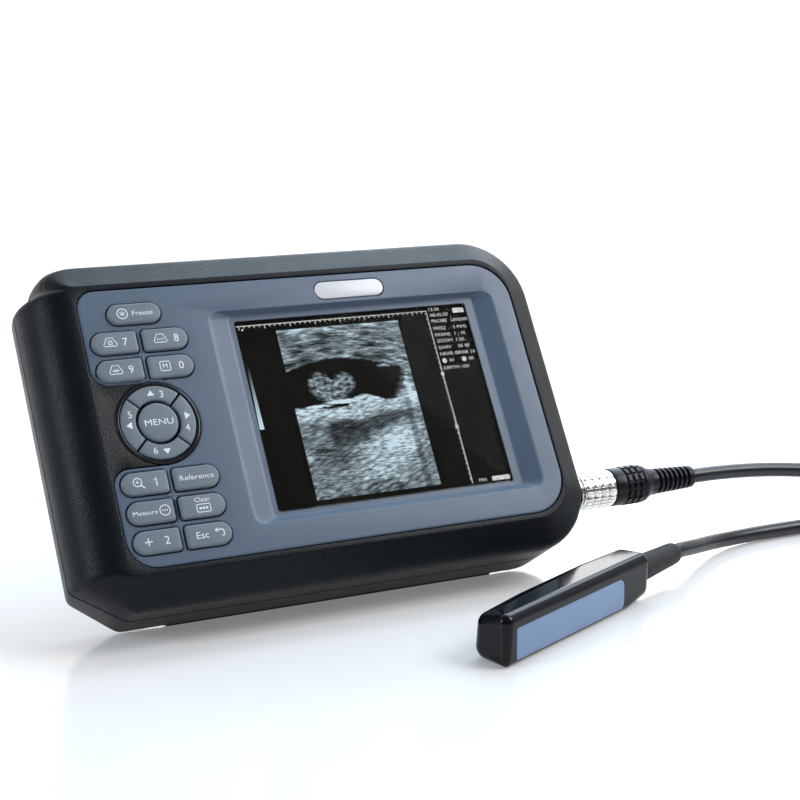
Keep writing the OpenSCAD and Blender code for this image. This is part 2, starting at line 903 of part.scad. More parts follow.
module plug_insert() {
    color([0.75, 0.65, 0.35]) {
        on_plug(socket_x + 10)
            cylinder(r = 5.58, h = 15, $fn = 48);
        for (i = [0:6])
            on_plug(socket_x - 2)
                rotate([0, 0, 360 / 7 * i])
                    translate([3, 0, 0])
                        cylinder(r = 0.6, h = 14, $fn = 16);
    }
}

module plug_boot() {
    len = boot_end - body_x[1];
    color([0.04, 0.04, 0.05])
    difference() {
        on_plug(body_x[1])
            cylinder(r1 = 6.1, r2 = 4.8, h = len, $fn = 64);
        for (i = [0:5])
            on_plug(body_x[1] + 2.2 + 3.3 * i)
                difference() {
                    cylinder(r = 9, h = 1.3, $fn = 64);
                    translate([0, 0, -1])
                        cylinder(r = 4.1, h = 4, $fn = 64);
                }
    }
}

// ---------- cable ----------

function unit(v) = v / norm(v);
function heading(p, i) = unit(p[min(i + 1, len(p) - 1)] - p[max(i - 1, 0)]);
function ring_at(p, i, r, n) = let (
        t = heading(p, i),
        side = unit(cross([0, 0, 1], t)),
        up = cross(t, side))
    [for (k = [0:n - 1]) p[i] + r * (cos(360 * k / n) * side + sin(360 * k / n) * up)];

// Tube swept along the points of a route
module cable_tube(p) {
    n = cable_sides;
    last = len(p) - 1;
    rings = [for (i = [0:last]) each ring_at(p, i, cable_d / 2, n)];
    walls = [for (i = [0:last - 1], k = [0:n - 1])
        [i * n + k, (i + 1) * n + k, (i + 1) * n + (k + 1) % n, i * n + (k + 1) % n]];
    ends = [[for (k = [0:n - 1]) k], [for (k = [n - 1:-1:0]) last * n + k]];
    color([0.06, 0.07, 0.08])
        polyhedron(rings, concat(walls, ends));
}

module cable_coil() {
    soft = 2;
    color([0.06, 0.07, 0.08])
    translate([coil_at[0], coil_at[1], 0])
        rotate_extrude($fn = 96)
            polygon([
                [coil_r[0], soft], [coil_r[0] + soft, 0], [coil_r[1] - soft, 0], [coil_r[1], soft],
                [coil_r[1], coil_h - soft], [coil_r[1] - soft, coil_h],
                [coil_r[0] + soft, coil_h], [coil_r[0], coil_h - soft]]);
}

// ---------- probe ----------

// Rounded body of the probe; t draws its surface in
module probe_body(t) {
    // centres and radii of the balls that the skin is drawn over
    balls = [
        [2.5, -probe_w / 2 + 2.5, 2.5, 2.5], [92, -probe_w / 2 + 2.5, 2.5, 2.5],
        [probe_len - 6, -probe_w / 2 + 5.5, 6, 5.5],
        [4.5, -probe_w / 2 + 4, probe_h - 4, 4], [probe_len - 5, -probe_w / 2 + 4.5, probe_h - 4.5, 4.5],
        [6, probe_w / 2 - 5.5, 5.5, 5.5], [probe_len - 6, probe_w / 2 - 6, 6, 6],
        [7, probe_w / 2 - 5.5, 14, 5.5], [8, 0, probe_h - 4.5, 4.5],
        [30, probe_w / 2 - 5, probe_h - 5.5, 5],
        [76, probe_w / 2 - 4.5, probe_h - 4.5, 4.5], [probe_len - 6, probe_w / 2 - 6, probe_h - 6, 6]];
    hull()
        for (b = balls)
            translate([b[0], b[1], b[2]])
                sphere(r = b[3] - t, $fn = 24);
}

module probe_cavity() {
    span([10, probe_len - 6], [-probe_w / 2 + probe_wall, probe_w / 2 - 5], [3, probe_h - 6]);
}

module lens_outline() {
    translate([lens_x, lens_z])
        polygon(soft_box(0, lens_len, 0, lens_h, 1.6, 4));
}

module lens_cut(y0, y1, grow) {
    translate([0, y1, 0])
        rotate([90, 0, 0])
            linear_extrude(y1 - y0)
                offset(delta = grow)
                    lens_outline();
}

module boot_hole() {
    translate([probe_len - 8, 0, probe_boot_z])
        rotate([0, 90, 0])
            cylinder(r = 4.9, h = 20, $fn = 48);
}

module probe_front_shell() {
    color([0.03, 0.03, 0.04])
    on_probe()
    difference() {
        intersection() {
            probe_body(0);
            span([-5, probe_len + 5], [-20, probe_split], [-5, 40]);
        }
        probe_cavity();
        lens_cut(-20, 0, 0.1);
        boot_hole();
    }
}

module probe_back_shell() {
    color([0.04, 0.04, 0.05])
    on_probe()
    difference() {
        intersection() {
            probe_body(0);
            span([-5, probe_len + 5], [probe_split, 20], [-5, 40]);
        }
        probe_cavity();
        boot_hole();
    }
}

module probe_lens() {
    color([0.45, 0.55, 0.78])
    on_probe()
        lens_cut(-probe_w / 2 - 0.2, -probe_w / 2 + 2.2, 0);
}

module probe_array() {
    color([0.6, 0.5, 0.3])
    on_probe()
        span([lens_x + 3, lens_x + lens_len - 3], [-probe_w / 2 + 2.2, -probe_w / 2 + 4], [4, 13.4]);
}

module probe_backing() {
    color([0.35, 0.35, 0.36])
    on_probe()
        span([lens_x + 3, lens_x + lens_len - 3], [-probe_w / 2 + 4, 2.5], [3.4, 14.4]);
}

module probe_boot() {
    color([0.07, 0.08, 0.10])
    on_probe()
        translate([0, 0, probe_boot_z])
            rotate([0, 90, 0]) {
                translate([0, 0, probe_len - 5.5])
                    cylinder(r = 4.8, h = 6.5, $fn = 48);
                translate([0, 0, probe_len + 0.1])
                    cylinder(r1 = 5.8, r2 = 4.7, h = probe_boot_len - 0.1, $fn = 48);
            }
}

// ---------- nodes ----------

front_shell();
rear_shell();
case_gasket();
port_block();
front_panel();
display_window();
display_module();
badge_plate();
key_freeze();
key_cap(0);  // key_7
key_cap(1);  // key_8
key_cap(2);  // key_9
key_cap(3);  // key_0
key_cap(4);  // key_1
key_cap(5);  // key_reference
key_cap(6);  // key_measure
key_cap(7);  // key_clear
key_cap(8);  // key_2
key_cap(9);  // key_escape
pad_key(90);  // pad_up
pad_key(0);  // pad_right
pad_key(270);  // pad_down
pad_key(180);  // pad_left
key_menu();
pad_ring();
key_membrane();
dome_switches();
key_board();
main_board();
board_chips();
board_screws();
battery_pack();
battery_contacts();
battery_door();
case_screws();
foot_strip();
stand_leg();
stand_foot();
stand_pin();
probe_socket();
socket_nut();
plug_collar();
plug_body();
plug_insert();
plug_boot();
cable_tube(lead_route);  // cable_lead
cable_coil();
cable_tube(tail_route);  // cable_tail
probe_front_shell();
probe_back_shell();
probe_lens();
probe_array();
probe_backing();
probe_boot();
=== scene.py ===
import json
from math import acos, asin, cos, degrees, hypot, pi, radians, sin, sqrt, tan

import bmesh
import bpy
from mathutils import Matrix, Vector
from mathutils.geometry import delaunay_2d_cdt


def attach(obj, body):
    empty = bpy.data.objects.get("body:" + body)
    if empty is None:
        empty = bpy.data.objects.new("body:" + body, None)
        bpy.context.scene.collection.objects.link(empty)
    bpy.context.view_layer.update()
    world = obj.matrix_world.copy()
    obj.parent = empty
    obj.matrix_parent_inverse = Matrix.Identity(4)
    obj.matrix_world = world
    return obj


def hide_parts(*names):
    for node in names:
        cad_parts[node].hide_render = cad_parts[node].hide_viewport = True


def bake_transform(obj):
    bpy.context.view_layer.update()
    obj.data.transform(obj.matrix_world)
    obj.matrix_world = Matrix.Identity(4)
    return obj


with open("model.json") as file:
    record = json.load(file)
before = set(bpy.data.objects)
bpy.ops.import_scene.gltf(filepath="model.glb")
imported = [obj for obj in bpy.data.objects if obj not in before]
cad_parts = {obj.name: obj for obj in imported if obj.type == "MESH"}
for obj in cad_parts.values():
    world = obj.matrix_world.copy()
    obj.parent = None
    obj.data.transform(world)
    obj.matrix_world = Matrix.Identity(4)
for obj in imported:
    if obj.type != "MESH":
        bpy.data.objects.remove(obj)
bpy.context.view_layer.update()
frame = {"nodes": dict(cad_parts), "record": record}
MM = 0.001
SCENE = bpy.context.scene
SCENE.view_settings.view_transform = "Standard"

# ---- frames of the CAD, in millimetres ----
LEAN = radians(32.2)
FACE_AT, PLUG_AT, PROBE_AT = (27.0, 5.2612, 85.8264), (0, -2, 33), (20, -102, 0)
PROBE_TURN = radians(25)


def placed(at, turn):
    return Matrix.Translation(Vector(at) * MM) @ turn


FACE = placed(FACE_AT, Matrix.Rotation(pi / 2 - LEAN, 4, "X"))
PLUG = placed(PLUG_AT, Matrix.Identity(4))
PROBE = placed(PROBE_AT, Matrix.Rotation(PROBE_TURN, 4, "Z"))
WORLD = Matrix.Identity(4)


def in_scene(name, data):
    o = bpy.data.objects.new(name, data)
    SCENE.collection.objects.link(o)
    return o


# ---- camera ----
camera = in_scene("camera", bpy.data.cameras.new("camera"))
camera.data.lens, camera.data.sensor_width = 80.28, 36
camera.data.clip_start, camera.data.clip_end = 0.01, 50
camera.matrix_world = Matrix((
    (0.8886, 0.0955, -0.4487, -0.3128),
    (-0.4588, 0.1851, -0.8691, -0.6716),
    (0.0, 0.9780, 0.2083, 0.2459),
    (0, 0, 0, 1)))
SCENE.camera = camera


# ---- mesh helpers ----
def mesh_of(name, verts, faces):
    mesh = bpy.data.meshes.new(name)
    mesh.from_pydata([Vector(v) for v in verts], [], faces)
    return mesh


def shape_of(o):
    """Points and faces of an object, as its modifiers leave it."""
    mesh = bpy.data.meshes.new_from_object(o.evaluated_get(bpy.context.evaluated_depsgraph_get()))
    return [tuple(v.co) for v in mesh.vertices], [tuple(p.vertices) for p in mesh.polygons]


def piece(name, verts, faces, body, slot=None, at=WORLD, mats=(), stands_for=(), smooth=35, kinds=None,
          own_frame=False):
    """A mesh from millimetre points in the frame at, riding on a body. With own_frame the object keeps that
    frame, so that its material can measure in it."""
    mesh = mesh_of(name, [Vector(v) * MM for v in verts], faces)
    if not own_frame:
        mesh.transform(at)
    for m in mats:
        mesh.materials.append(m)
    if kinds:
        mesh.polygons.foreach_set("material_index", kinds)
    mesh.validate()
    o = in_scene(name, mesh)
    tidy_normals(o, smooth)
    if own_frame:
        o.matrix_world = at
    if body:
        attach(o, body)
    if stands_for:
        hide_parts(*stands_for)
    return o


def tidy_normals(o, smooth):
    """Merge equal points, turn faces outwards, and shade smooth below an angle in degrees (0 is flat)."""
    b = bmesh.new()
    b.from_mesh(o.data)
    bmesh.ops.remove_doubles(b, verts=b.verts, dist=1e-7)
    bmesh.ops.recalc_face_normals(b, faces=b.faces)
    b.to_mesh(o.data)
    b.free()
    o.data.polygons.foreach_set("use_smooth", [smooth > 0] * len(o.data.polygons))
    if smooth:
        o.data.set_sharp_from_angle(angle=radians(smooth))


def loft(rings, first=True, last=True):
    """Points and faces of a skin through closed rings of equal length."""
    n = len(rings[0])
    verts = [p for r in rings for p in r]
    faces = [(i * n + k, i * n + (k + 1) % n, (i + 1) * n + (k + 1) % n, (i + 1) * n + k)
             for i in range(len(rings) - 1) for k in range(n)]
    if first:
        faces.append(tuple(range(n - 1, -1, -1)))
    if last:
        faces.append(tuple(range((len(rings) - 1) * n, len(rings) * n)))
    return verts, faces


def joined(*parts):
    """Several (points, faces) as one."""
    verts, faces = [], []
    for v, f in parts:
        base = len(verts)
        verts += list(v)
        faces += [tuple(base + i for i in p) for p in f]
    return verts, faces


def arc(cx, cy, r, a0, a1, n):
    """Points from a0 to a1 degrees round a centre."""
    turns = (radians(a0 + (a1 - a0) * i / n) for i in range(n + 1))
    return [(cx + r * cos(a), cy + r * sin(a)) for a in turns]


def soft_box(x0, x1, y0, y1, r, n=6):
    return (arc(x1 - r, y1 - r, r, 0, 90, n) + arc(x0 + r, y1 - r, r, 90, 180, n)
            + arc(x0 + r, y0 + r, r, 180, 270, n) + arc(x1 - r, y0 + r, r, 270, 360, n))


def lift(outline, z):
    return [(p[0], p[1], z) for p in outline]


# ---- cord: route points in millimetres, as in the CAD ----
CORD_R = 3.5
LEAD = [(188.5, -2, 33), (204, -2, 32.9), (220, -2.6, 32.3), (236, -3.8, 31.2), (252, -5.2, 29.4),
        (268, -6, 27), (284, -6.4, 24.3), (300, -6.5, 21.7), (316, -6.5, 19.6), (332, -6.5, 18.1)]
TAIL = [(306.9, -37.1, 3.5), (302.4, -28.2, 3.5), (295.3, -21.1, 3.5), (286.4, -16.6, 3.5),
        (276.5, -15, 3.5), (262, -14.4, 3.5), (248, -14.1, 3.5), (234, -13.8, 3.5), (219.5, -14.2, 3.6),
        (206, -16, 4), (193, -19.6, 5), (181, -25.2, 6.6), (169, -32.1, 8.6), (158.4, -37.5, 10.3),
        (152.4, -40.28, 10.5)]
COIL_AT = (350, -48)
# turns wound so far, radius and height: three layers, each with an outer and an inner stretch
COIL = [(0, 41.5, 17.5), (0.76, 41.5, 17.5), (0.98, 34.5, 17.5), (1.6, 34.5, 17.5), (1.8, 34.5, 10.5),
        (2.44, 34.5, 10.5), (2.66, 41.5, 10.5), (3.24, 41.5, 10.5), (3.46, 34.5, 3.5), (4.1, 34.5, 3.5),
        (4.32, 43, 3.5), (4.42, 43, 3.5), (4.6, 41.5, 3.5), (4.75, 41.5, 3.5)]


def coil_points(step=0.03):
    out = []
    for i in range(round(COIL[-1][0] / step) + 1):
        t = min(i * step, COIL[-1][0])
        j = max(k for k in range(len(COIL) - 1) if COIL[k][0] <= t + 1e-9)
        (t0, r0, z0), (t1, r1, z1) = COIL[j], COIL[j + 1]
        s = (t - t0) / (t1 - t0)
        s = s * s * (3 - 2 * s)
        r, a = r0 + (r1 - r0) * s, radians(90 - 360 * t)
        out.append((COIL_AT[0] + r * cos(a), COIL_AT[1] + r * sin(a), z0 + (z1 - z0) * s))
    return out


def through(points, per):
    """A smooth line through the points, with per steps from each to the next."""
    p = [Vector(q) for q in points]
    p = [2 * p[0] - p[1]] + p + [2 * p[-1] - p[-2]]
    out = []
    for i in range(1, len(p) - 2):
        for k in range(per):
            t = k / per
            out.append(0.5 * ((2 * p[i]) + (p[i + 1] - p[i - 1]) * t
                              + (2 * p[i - 1] - 5 * p[i] + 4 * p[i + 1] - p[i + 2]) * t * t
                              + (3 * p[i] - p[i - 1] - 3 * p[i + 1] + p[i + 2]) * t ** 3))
    return out + [p[-2]]


def tube(line, radius, sides=16):
    """Skin of a tube along a line."""
    rings, side = [], None
    for i, p in enumerate(line):
        t = (line[min(i + 1, len(line) - 1)] - line[max(i - 1, 0)]).normalized()
        if side is None:
            side = t.cross(Vector((0, 0, 1))).normalized()
        side = (side - t * side.dot(t)).normalized()
        up = side.cross(t)
        rings.append([p + radius * (cos(a) * side + sin(a) * up)
                      for a in (2 * pi * k / sides for k in range(sides))])
    return loft(rings)


route = through(LEAD + coil_points() + TAIL, 4)
cord_verts, cord_faces = tube(route, CORD_R)
cord = piece("probe_cable", cord_verts, cord_faces, None, smooth=60)
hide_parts("cable_lead", "cable_coil", "cable_tail")


def strap(half=6.5):
    """A hook-and-loop tie round the coil, at 45 degrees and half wide to each side."""
    outer, inner = soft_box(30.6, 45.7, 0.05, 21.7, 3.6, 8), soft_box(31.4, 44.9, 0.85, 20.9, 2.8, 8)
    c, s = cos(radians(45)), sin(radians(45))
    rings = []
    for w, line in ((-half, inner), (-half, outer), (half, outer), (half, inner), (-half, inner)):
        rings.append([(COIL_AT[0] + r * c - w * s, COIL_AT[1] + r * s + w * c, z) for r, z in line])
    return loft(rings, False, False)


tie = piece("coil_strap", *strap(), "scanner", "cable_black")


# ---- materials ----
BY_SLOT = {}


def fill(node, values):
    """Set a node's inputs, named with _ for each space."""
    for k, v in values.items():
        node.inputs[k.replace("_", " ")].default_value = v


def add(tree, kind, **values):
    node = tree.nodes.new(kind)
    fill(node, values)
    return node


def coordinates(tree, kind="Object"):
    return tree.nodes.new("ShaderNodeTexCoord").outputs[kind]


def material(name, **values):
    """A new material, its node tree and its shader. BY_SLOT keeps it under its name."""
    m = BY_SLOT[name] = bpy.data.materials.new(name)
    m.use_nodes = True
    bsdf = m.node_tree.nodes["Principled BSDF"]
    fill(bsdf, values)
    return m, m.node_tree, bsdf


def noise_node(tree, vector, scale, detail=3.0, rough=0.5):
    node = add(tree, "ShaderNodeTexNoise", Scale=scale, Detail=detail, Roughness=rough)
    tree.links.new(vector, node.inputs["Vector"])
    return node.outputs["Fac"]


def ramp(tree, factor, stops):
    node = tree.nodes.new("ShaderNodeValToRGB")
    tree.links.new(factor, node.inputs["Fac"])
    ends = node.color_ramp.elements
    while len(ends) < len(stops):
        ends.new(0.5)
    for e, (at, colour) in zip(ends, stops):
        e.position, e.color = at, (*colour, 1)
    return node.outputs["Color"]


def spread(tree, factor, low, high):
    """A noise factor stretched to lie between low and high."""
    node = add(tree, "ShaderNodeMapRange", From_Min=0.3, From_Max=0.7, To_Min=low, To_Max=high)
    tree.links.new(factor, node.inputs["Value"])
    return node.outputs["Result"]


def look(name, colour, rough, patch, vary, rough_vary, grains=(), cells=False, **sockets):
    """Material with soft colour patches, uneven gloss and fine relief.
    grains holds (scale per metre, height in millimetres), as noise or as cells."""
    m, t, bsdf = material(name, **sockets)
    place = coordinates(t)
    soft = noise_node(t, place, patch, 4)
    dark = tuple(c * (1 - vary) for c in colour)
    light = tuple(min(1, c * (1 + vary)) for c in colour)
    t.links.new(ramp(t, soft, [(0.3, dark), (0.7, light)]), bsdf.inputs["Base Color"])
    smear = noise_node(t, place, patch * 3.1, 6, 0.65)
    t.links.new(spread(t, smear, rough - rough_vary, rough + rough_vary), bsdf.inputs["Roughness"])
    normal = None
    for scale, height in grains:
        if cells:
            node = add(t, "ShaderNodeTexVoronoi", Scale=scale)
            t.links.new(place, node.inputs["Vector"])
            relief = node.outputs["Distance"]
        else:
            relief = noise_node(t, place, scale, 2)
        bump = add(t, "ShaderNodeBump", Strength=1.0, Distance=height * MM)
        t.links.new(relief, bump.inputs["Height"])
        if normal:
            t.links.new(normal, bump.inputs["Normal"])
        normal = bump.outputs["Normal"]
    if normal:
        t.links.new(normal, bsdf.inputs["Normal"])
    return m


CASE = look("case_plastic", (0.004, 0.006, 0.0085), 0.36, 30, 0.18, 0.05,
            [(1500, 0.16), (420, 0.05)], Specular_IOR_Level=0.2)
SOFT = look("soft_black", (0.012, 0.012, 0.013), 0.7, 60, 0.2, 0.06, [(2200, 0.12)])
PANEL = look("panel_plastic", (0.094, 0.134, 0.198), 0.38, 26, 0.05, 0.04, [(2600, 0.02)])
KEYS = look("key_rubber", (0.165, 0.205, 0.24), 0.4, 80, 0.08, 0.05, [(2400, 0.03)])
LEGEND = look("legend_white", (0.88, 0.92, 0.95), 0.5, 300, 0.05, 0.05)
BADGE = look("badge_white", (0.76, 0.74, 0.77), 0.18, 60, 0.03, 0.03)
RING = look("ring_black", (0.008, 0.009, 0.011), 0.16, 60, 0.2, 0.04)
CHROME = look("connector_metal", (0.83, 0.82, 0.78), 0.16, 110, 0.06, 0.06, [(2600, 0.008)],
              Metallic=1.0)
PLUG_BLACK = look("plug_black", (0.005, 0.0065, 0.009), 0.36, 70, 0.2, 0.06, [(2000, 0.05)],
                  Specular_IOR_Level=0.3)
CABLE = look("cable_black", (0.007, 0.009, 0.014), 0.3, 40, 0.2, 0.06,
             [(900, 0.05), (120, 0.1)], Specular_IOR_Level=0.5)
GLOSS = look("probe_gloss", (0.003, 0.0035, 0.005), 0.1, 30, 0.2, 0.03, [(160, 0.01)],
             Specular_IOR_Level=0.25)
LENS = look("lens_blue", (0.20, 0.30, 0.47), 0.4, 40, 0.06, 0.05, [(1500, 0.02)])
DISPLAY = look("display_black", (0.01, 0.01, 0.01), 0.3, 60, 0.2, 0.05)
# the slots that only carried-over CAD nodes use
look("membrane", (0.05, 0.055, 0.06), 0.6, 60, 0.1, 0.05, [(1800, 0.05)])
look("steel", (0.58, 0.58, 0.57), 0.28, 90, 0.08, 0.08, [(3000, 0.01)], Metallic=1.0)
look("contact_gold", (0.83, 0.62, 0.28), 0.2, 110, 0.08, 0.05, Metallic=1.0)
look("board_green", (0.015, 0.12, 0.045), 0.35, 120, 0.15, 0.08, [(500, 0.03)], True)
look("chip_black", (0.02, 0.02, 0.022), 0.5, 200, 0.15, 0.06, [(3000, 0.03)])
look("battery_wrap", (0.03, 0.09, 0.26), 0.3, 50, 0.1, 0.06, [(60, 0.2)])
look("array_ceramic", (0.45, 0.36, 0.2), 0.5, 200, 0.1, 0.05, [(1200, 0.03)], True)
look("backing_grey", (0.09, 0.09, 0.1), 0.6, 100, 0.15, 0.05, [(1500, 0.05)])
material("window_glass", Transmission_Weight=1.0, Roughness=0.02, IOR=1.04, Base_Color=(0.95, 0.97, 1, 1))

# CAD nodes that stay take their slot's material, and soften their edges
SAME_POINT, SOFT_EDGE, SHARP_FROM = 1e-6, 0.00025, radians(40)
for part in frame["record"]["subparts"]:
    node = frame["nodes"][part["node"]]
    node.data.materials.clear()
    node.data.materials.append(BY_SLOT[part["material_slot"]])
    if node.hide_render:
        continue
    weld = node.modifiers.new("weld", "WELD")
    weld.merge_threshold = SAME_POINT
    edge = node.modifiers.new("edge", "BEVEL")
    edge.width, edge.segments, edge.limit_method, edge.angle_limit = SOFT_EDGE, 2, "ANGLE", SHARP_FROM
    edge.use_clamp_overlap = True


# ---- flat shapes: regions, walls and raised inks ----
def inside(p, loop):
    hit, n = False, len(loop)
    for i in range(n):
        (x0, y0), (x1, y1) = loop[i][:2], loop[(i + 1) % n][:2]
        if (y0 > p[1]) != (y1 > p[1]) and p[0] < (x1 - x0) * (p[1] - y0) / (y1 - y0) + x0:
            hit = not hit
    return hit


def region(outer, holes, z):
    """Triangles of the flat area inside outer and outside the holes, at height z."""
    points, edges = [], []
    for loop in (outer, *holes):
        base, n = len(points), len(loop)
        points += [Vector(p[:2]) for p in loop]
        edges += [(base + i, base + (i + 1) % n) for i in range(n)]
    verts, _, faces, *_ = delaunay_2d_cdt(points, edges, [], 0, 1e-6)
    kept = []
    for f in faces:
        mid = sum((verts[i] for i in f), Vector((0, 0))) / len(f)
        if inside(mid, outer) and not any(inside(mid, h) for h in holes):
            kept.append(tuple(f))
    return [(v.x, v.y, z) for v in verts], kept


def skin(outline, profile, first=False, last=False):
    """Rings of outline(d) at the heights in profile, a list of (d, z)."""
    return loft([lift(outline(d), z) for d, z in profile], first, last)


def rounded(d0, z0, d1, z1, d2, z2, n=4):
    """Profile that turns smoothly from point 0 to point 2, with its corner at point 1."""
    return [((1 - u) ** 2 * d0 + 2 * u * (1 - u) * d1 + u * u * d2,
             (1 - u) ** 2 * z0 + 2 * u * (1 - u) * z1 + u * u * z2)
            for u in (i / n for i in range(n + 1))]


def slab(verts, faces, z0, z1):
    """A flat shape given some thickness."""
    n = len(verts)
    uses = {}
    for f in faces:
        for i in range(len(f)):
            e = (f[i], f[(i + 1) % len(f)])
            uses[frozenset(e)] = None if frozenset(e) in uses else e
    walls = [(e[0], e[1], e[1] + n, e[0] + n) for e in uses.values() if e]
    return (lift(verts, z0) + lift(verts, z1),
            [tuple(reversed(f)) for f in faces] + [tuple(i + n for i in f) for f in faces] + walls)


def moved(shape, x, y, stretch=1):
    return [(p[0] * stretch + x, p[1] + y) for p in shape[0]], shape[1]


def words(text, cap, x=0, y=0, stretch=1):
    """Lettering whose capitals are cap millimetres high, centred on x, y."""
    curve = bpy.data.curves.new("words", "FONT")
    curve.body, curve.size, curve.resolution_u = text, cap / 0.7, 3
    o = in_scene("words", curve)
    verts, faces = shape_of(o)
    bpy.data.objects.remove(o)
    mid = (min(v[0] for v in verts) + max(v[0] for v in verts)) / 2
    return moved(([(v[0] - mid, v[1] - cap / 2) for v in verts], faces), x, y, stretch)


def stroke(line, width, closed=False):
    """A line of even width through the points."""
    n = len(line)
    verts = []
    for i, p in enumerate(line):
        a = line[i - 1] if (closed or i) else p
        b = line[(i + 1) % n] if (closed or i < n - 1) else p
        d = Vector((b[0] - a[0], b[1] - a[1])).normalized() * width / 2
        verts += [(p[0] - d.y, p[1] + d.x), (p[0] + d.y, p[1] - d.x)]
    last = n if closed else n - 1
    return verts, [(2 * i, 2 * i + 1, (2 * i + 3) % (2 * n), (2 * i + 2) % (2 * n)) for i in range(last)]


def circle(x, y, r, n=24):
    return arc(x, y, r, 0, 360 - 360 / n, n - 1)


def filled(loop):
    return list(loop), [tuple(range(len(loop)))]


def legend(name, body, x, y, z, *shapes):
    verts, faces = joined(*shapes)
    shape = slab([(v[0] + x, v[1] + y) for v in verts], faces, z - 0.02, z + 0.03)
    return piece(name, *shape, body, "key_rubber", FACE, [LEGEND], smooth=0)


# ---- case ----
CASE_TOP, CASE_BOTTOM, CASE_LEFT, CASE_RIGHT, DEPTH = 74.5, 76, 146, 92, 43
BEVEL_W, BEVEL_D, CORNER, FOOT_Z = 12.5, 8, 30, 38.5
# points of the upper left cut corner: how far along it and how far out, per its length
CREST = ((0.26, 0.118), (0.46, 0.147), (0.69, -0.04))
BACK_CUT = (DEPTH - FOOT_Z) * tan(LEAN)
GRIP_Z, GRIP_FLAT, GRIP_BACK, GRIP_TOP, GRIP_BOTTOM, CUT_X = 21, 127, 5, 60.5, 61, 124.5


def bevel_in(z):
    return max(0, BEVEL_W * (1 + z / BEVEL_D))


def eased(a, corner, b, reach, n=6):
    """Points that turn smoothly at a corner between a and b."""
    a, c, b = Vector(a), Vector(corner), Vector(b)
    ra, rb = min(reach, (a - c).length * 0.45), min(reach, (b - c).length * 0.45)
    p, q = c + (a - c).normalized() * ra, c + (b - c).normalized() * rb
    return [tuple((1 - u) ** 2 * p + 2 * u * (1 - u) * c + u * u * q)
            for u in (i / n for i in range(n + 1))]


def case_outline(z, t=0.0, left_t=None, n=16):
    """Outline of the case at height z in the face frame, drawn in by t."""
    back = BACK_CUT * max(0, -z - FOOT_Z) / (DEPTH - FOOT_Z)
    cut = bevel_in(z) + back
    top, bottom, right = CASE_TOP - cut - t, -CASE_BOTTOM + cut + t, CASE_RIGHT - cut - t
    if z > -GRIP_Z:
        left = GRIP_FLAT + (CASE_LEFT - GRIP_FLAT) * sqrt(max(0, 1 - ((z + GRIP_Z) / GRIP_Z) ** 2))
    else:
        left = CASE_LEFT - GRIP_BACK * ((z + GRIP_Z) / (DEPTH - GRIP_Z)) ** 2
    left -= back + (t if left_t is None else left_t)
    r = CORNER - cut - t
    low, corner = (-left, -GRIP_BOTTOM + t / 2), (-CUT_X + t, bottom)
    a, b = (-CUT_X + t, top), (-left, GRIP_TOP - t / 2)
    run = (b[0] - a[0], b[1] - a[1])
    crest, ridge, notch = ((a[0] + u * run[0] + v * run[1], a[1] + u * run[1] - v * run[0])
                           for u, v in CREST)
    return (arc(right - r, top - r, r, 0, 90, n)
            + eased((0, top), a, crest, 5, 5) + eased(a, crest, ridge, 3, 4)
            + eased(crest, ridge, notch, 4, 5) + eased(ridge, notch, b, 1.8, 4)
            + eased(notch, b, (-left, 0), 2.2, 4) + eased((-left, 0), low, corner, 2)
            + eased(low, corner, (0, bottom), 2.5)
            + arc(right - r, bottom + r, r, 270, 360, n))


PAD_X, PAD_Y, RING_R, LOBE_R = -101.7, -0.9, 18.2, 7
PANEL_L, PANEL_R, PANEL_T, PANEL_B = 125.3, 78.4, 59.4, 60.9


def panel_loop(d, pad):
    """Outline of the panel drawn in by d; pad is the line round the four-way pad."""
    return (arc(-PANEL_L + 8, PANEL_T - 8, 8 - d, 180, 90, 8)
            + arc(PANEL_R - 18, PANEL_T - 18, 18 - d, 90, 0, 14)
            + arc(PANEL_R - 18, -PANEL_B + 18, 18 - d, 0, -90, 14)
            + arc(-PANEL_L + 12, -PANEL_B + 12, 12 - d, -90, -180, 10)
            + arc(-PANEL_L + LOBE_R, PAD_Y - RING_R - LOBE_R, LOBE_R - d, 180, 90, 8) + pad
            + arc(-PANEL_L + LOBE_R, PAD_Y + RING_R + LOBE_R, LOBE_R - d, -90, -180, 8))


def panel_outline(d):
    return panel_loop(d, arc(PAD_X, PAD_Y, RING_R + d, -90, 90, 48))


def pocket_outline(d):
    """The case's opening for the panel and the pad: d is negative outwards."""
    r = RING_R - 0.1 - (d + 0.4)
    tip = degrees(acos(min(1, (RING_R + d) / r)))
    return panel_loop(d, arc(PAD_X, PAD_Y, r, 270 - tip, 90 + tip, 40))


def bevel_edge():
    """Rounded line between the face and the sloped border, as (drawn in, height)."""
    soft = 0.35
    rounds = rounded(soft, 0, 0, 0, -soft * 0.84, -soft * 0.54, 3)
    return [(max(d - BEVEL_W / BEVEL_D * z, 0), z) for d, z in rounds]


def side_edge(reach=2.2, n=5):
    """Rounded line between the sloped border and the sides."""
    rise = reach * BEVEL_D / hypot(BEVEL_W, BEVEL_D)
    start = BEVEL_W * rise / BEVEL_D
    out = rounded(start, -BEVEL_D + rise, 0, -BEVEL_D, 0, -BEVEL_D - reach, n)
    return [(max(d - bevel_in(z), 0), z) for d, z in out]


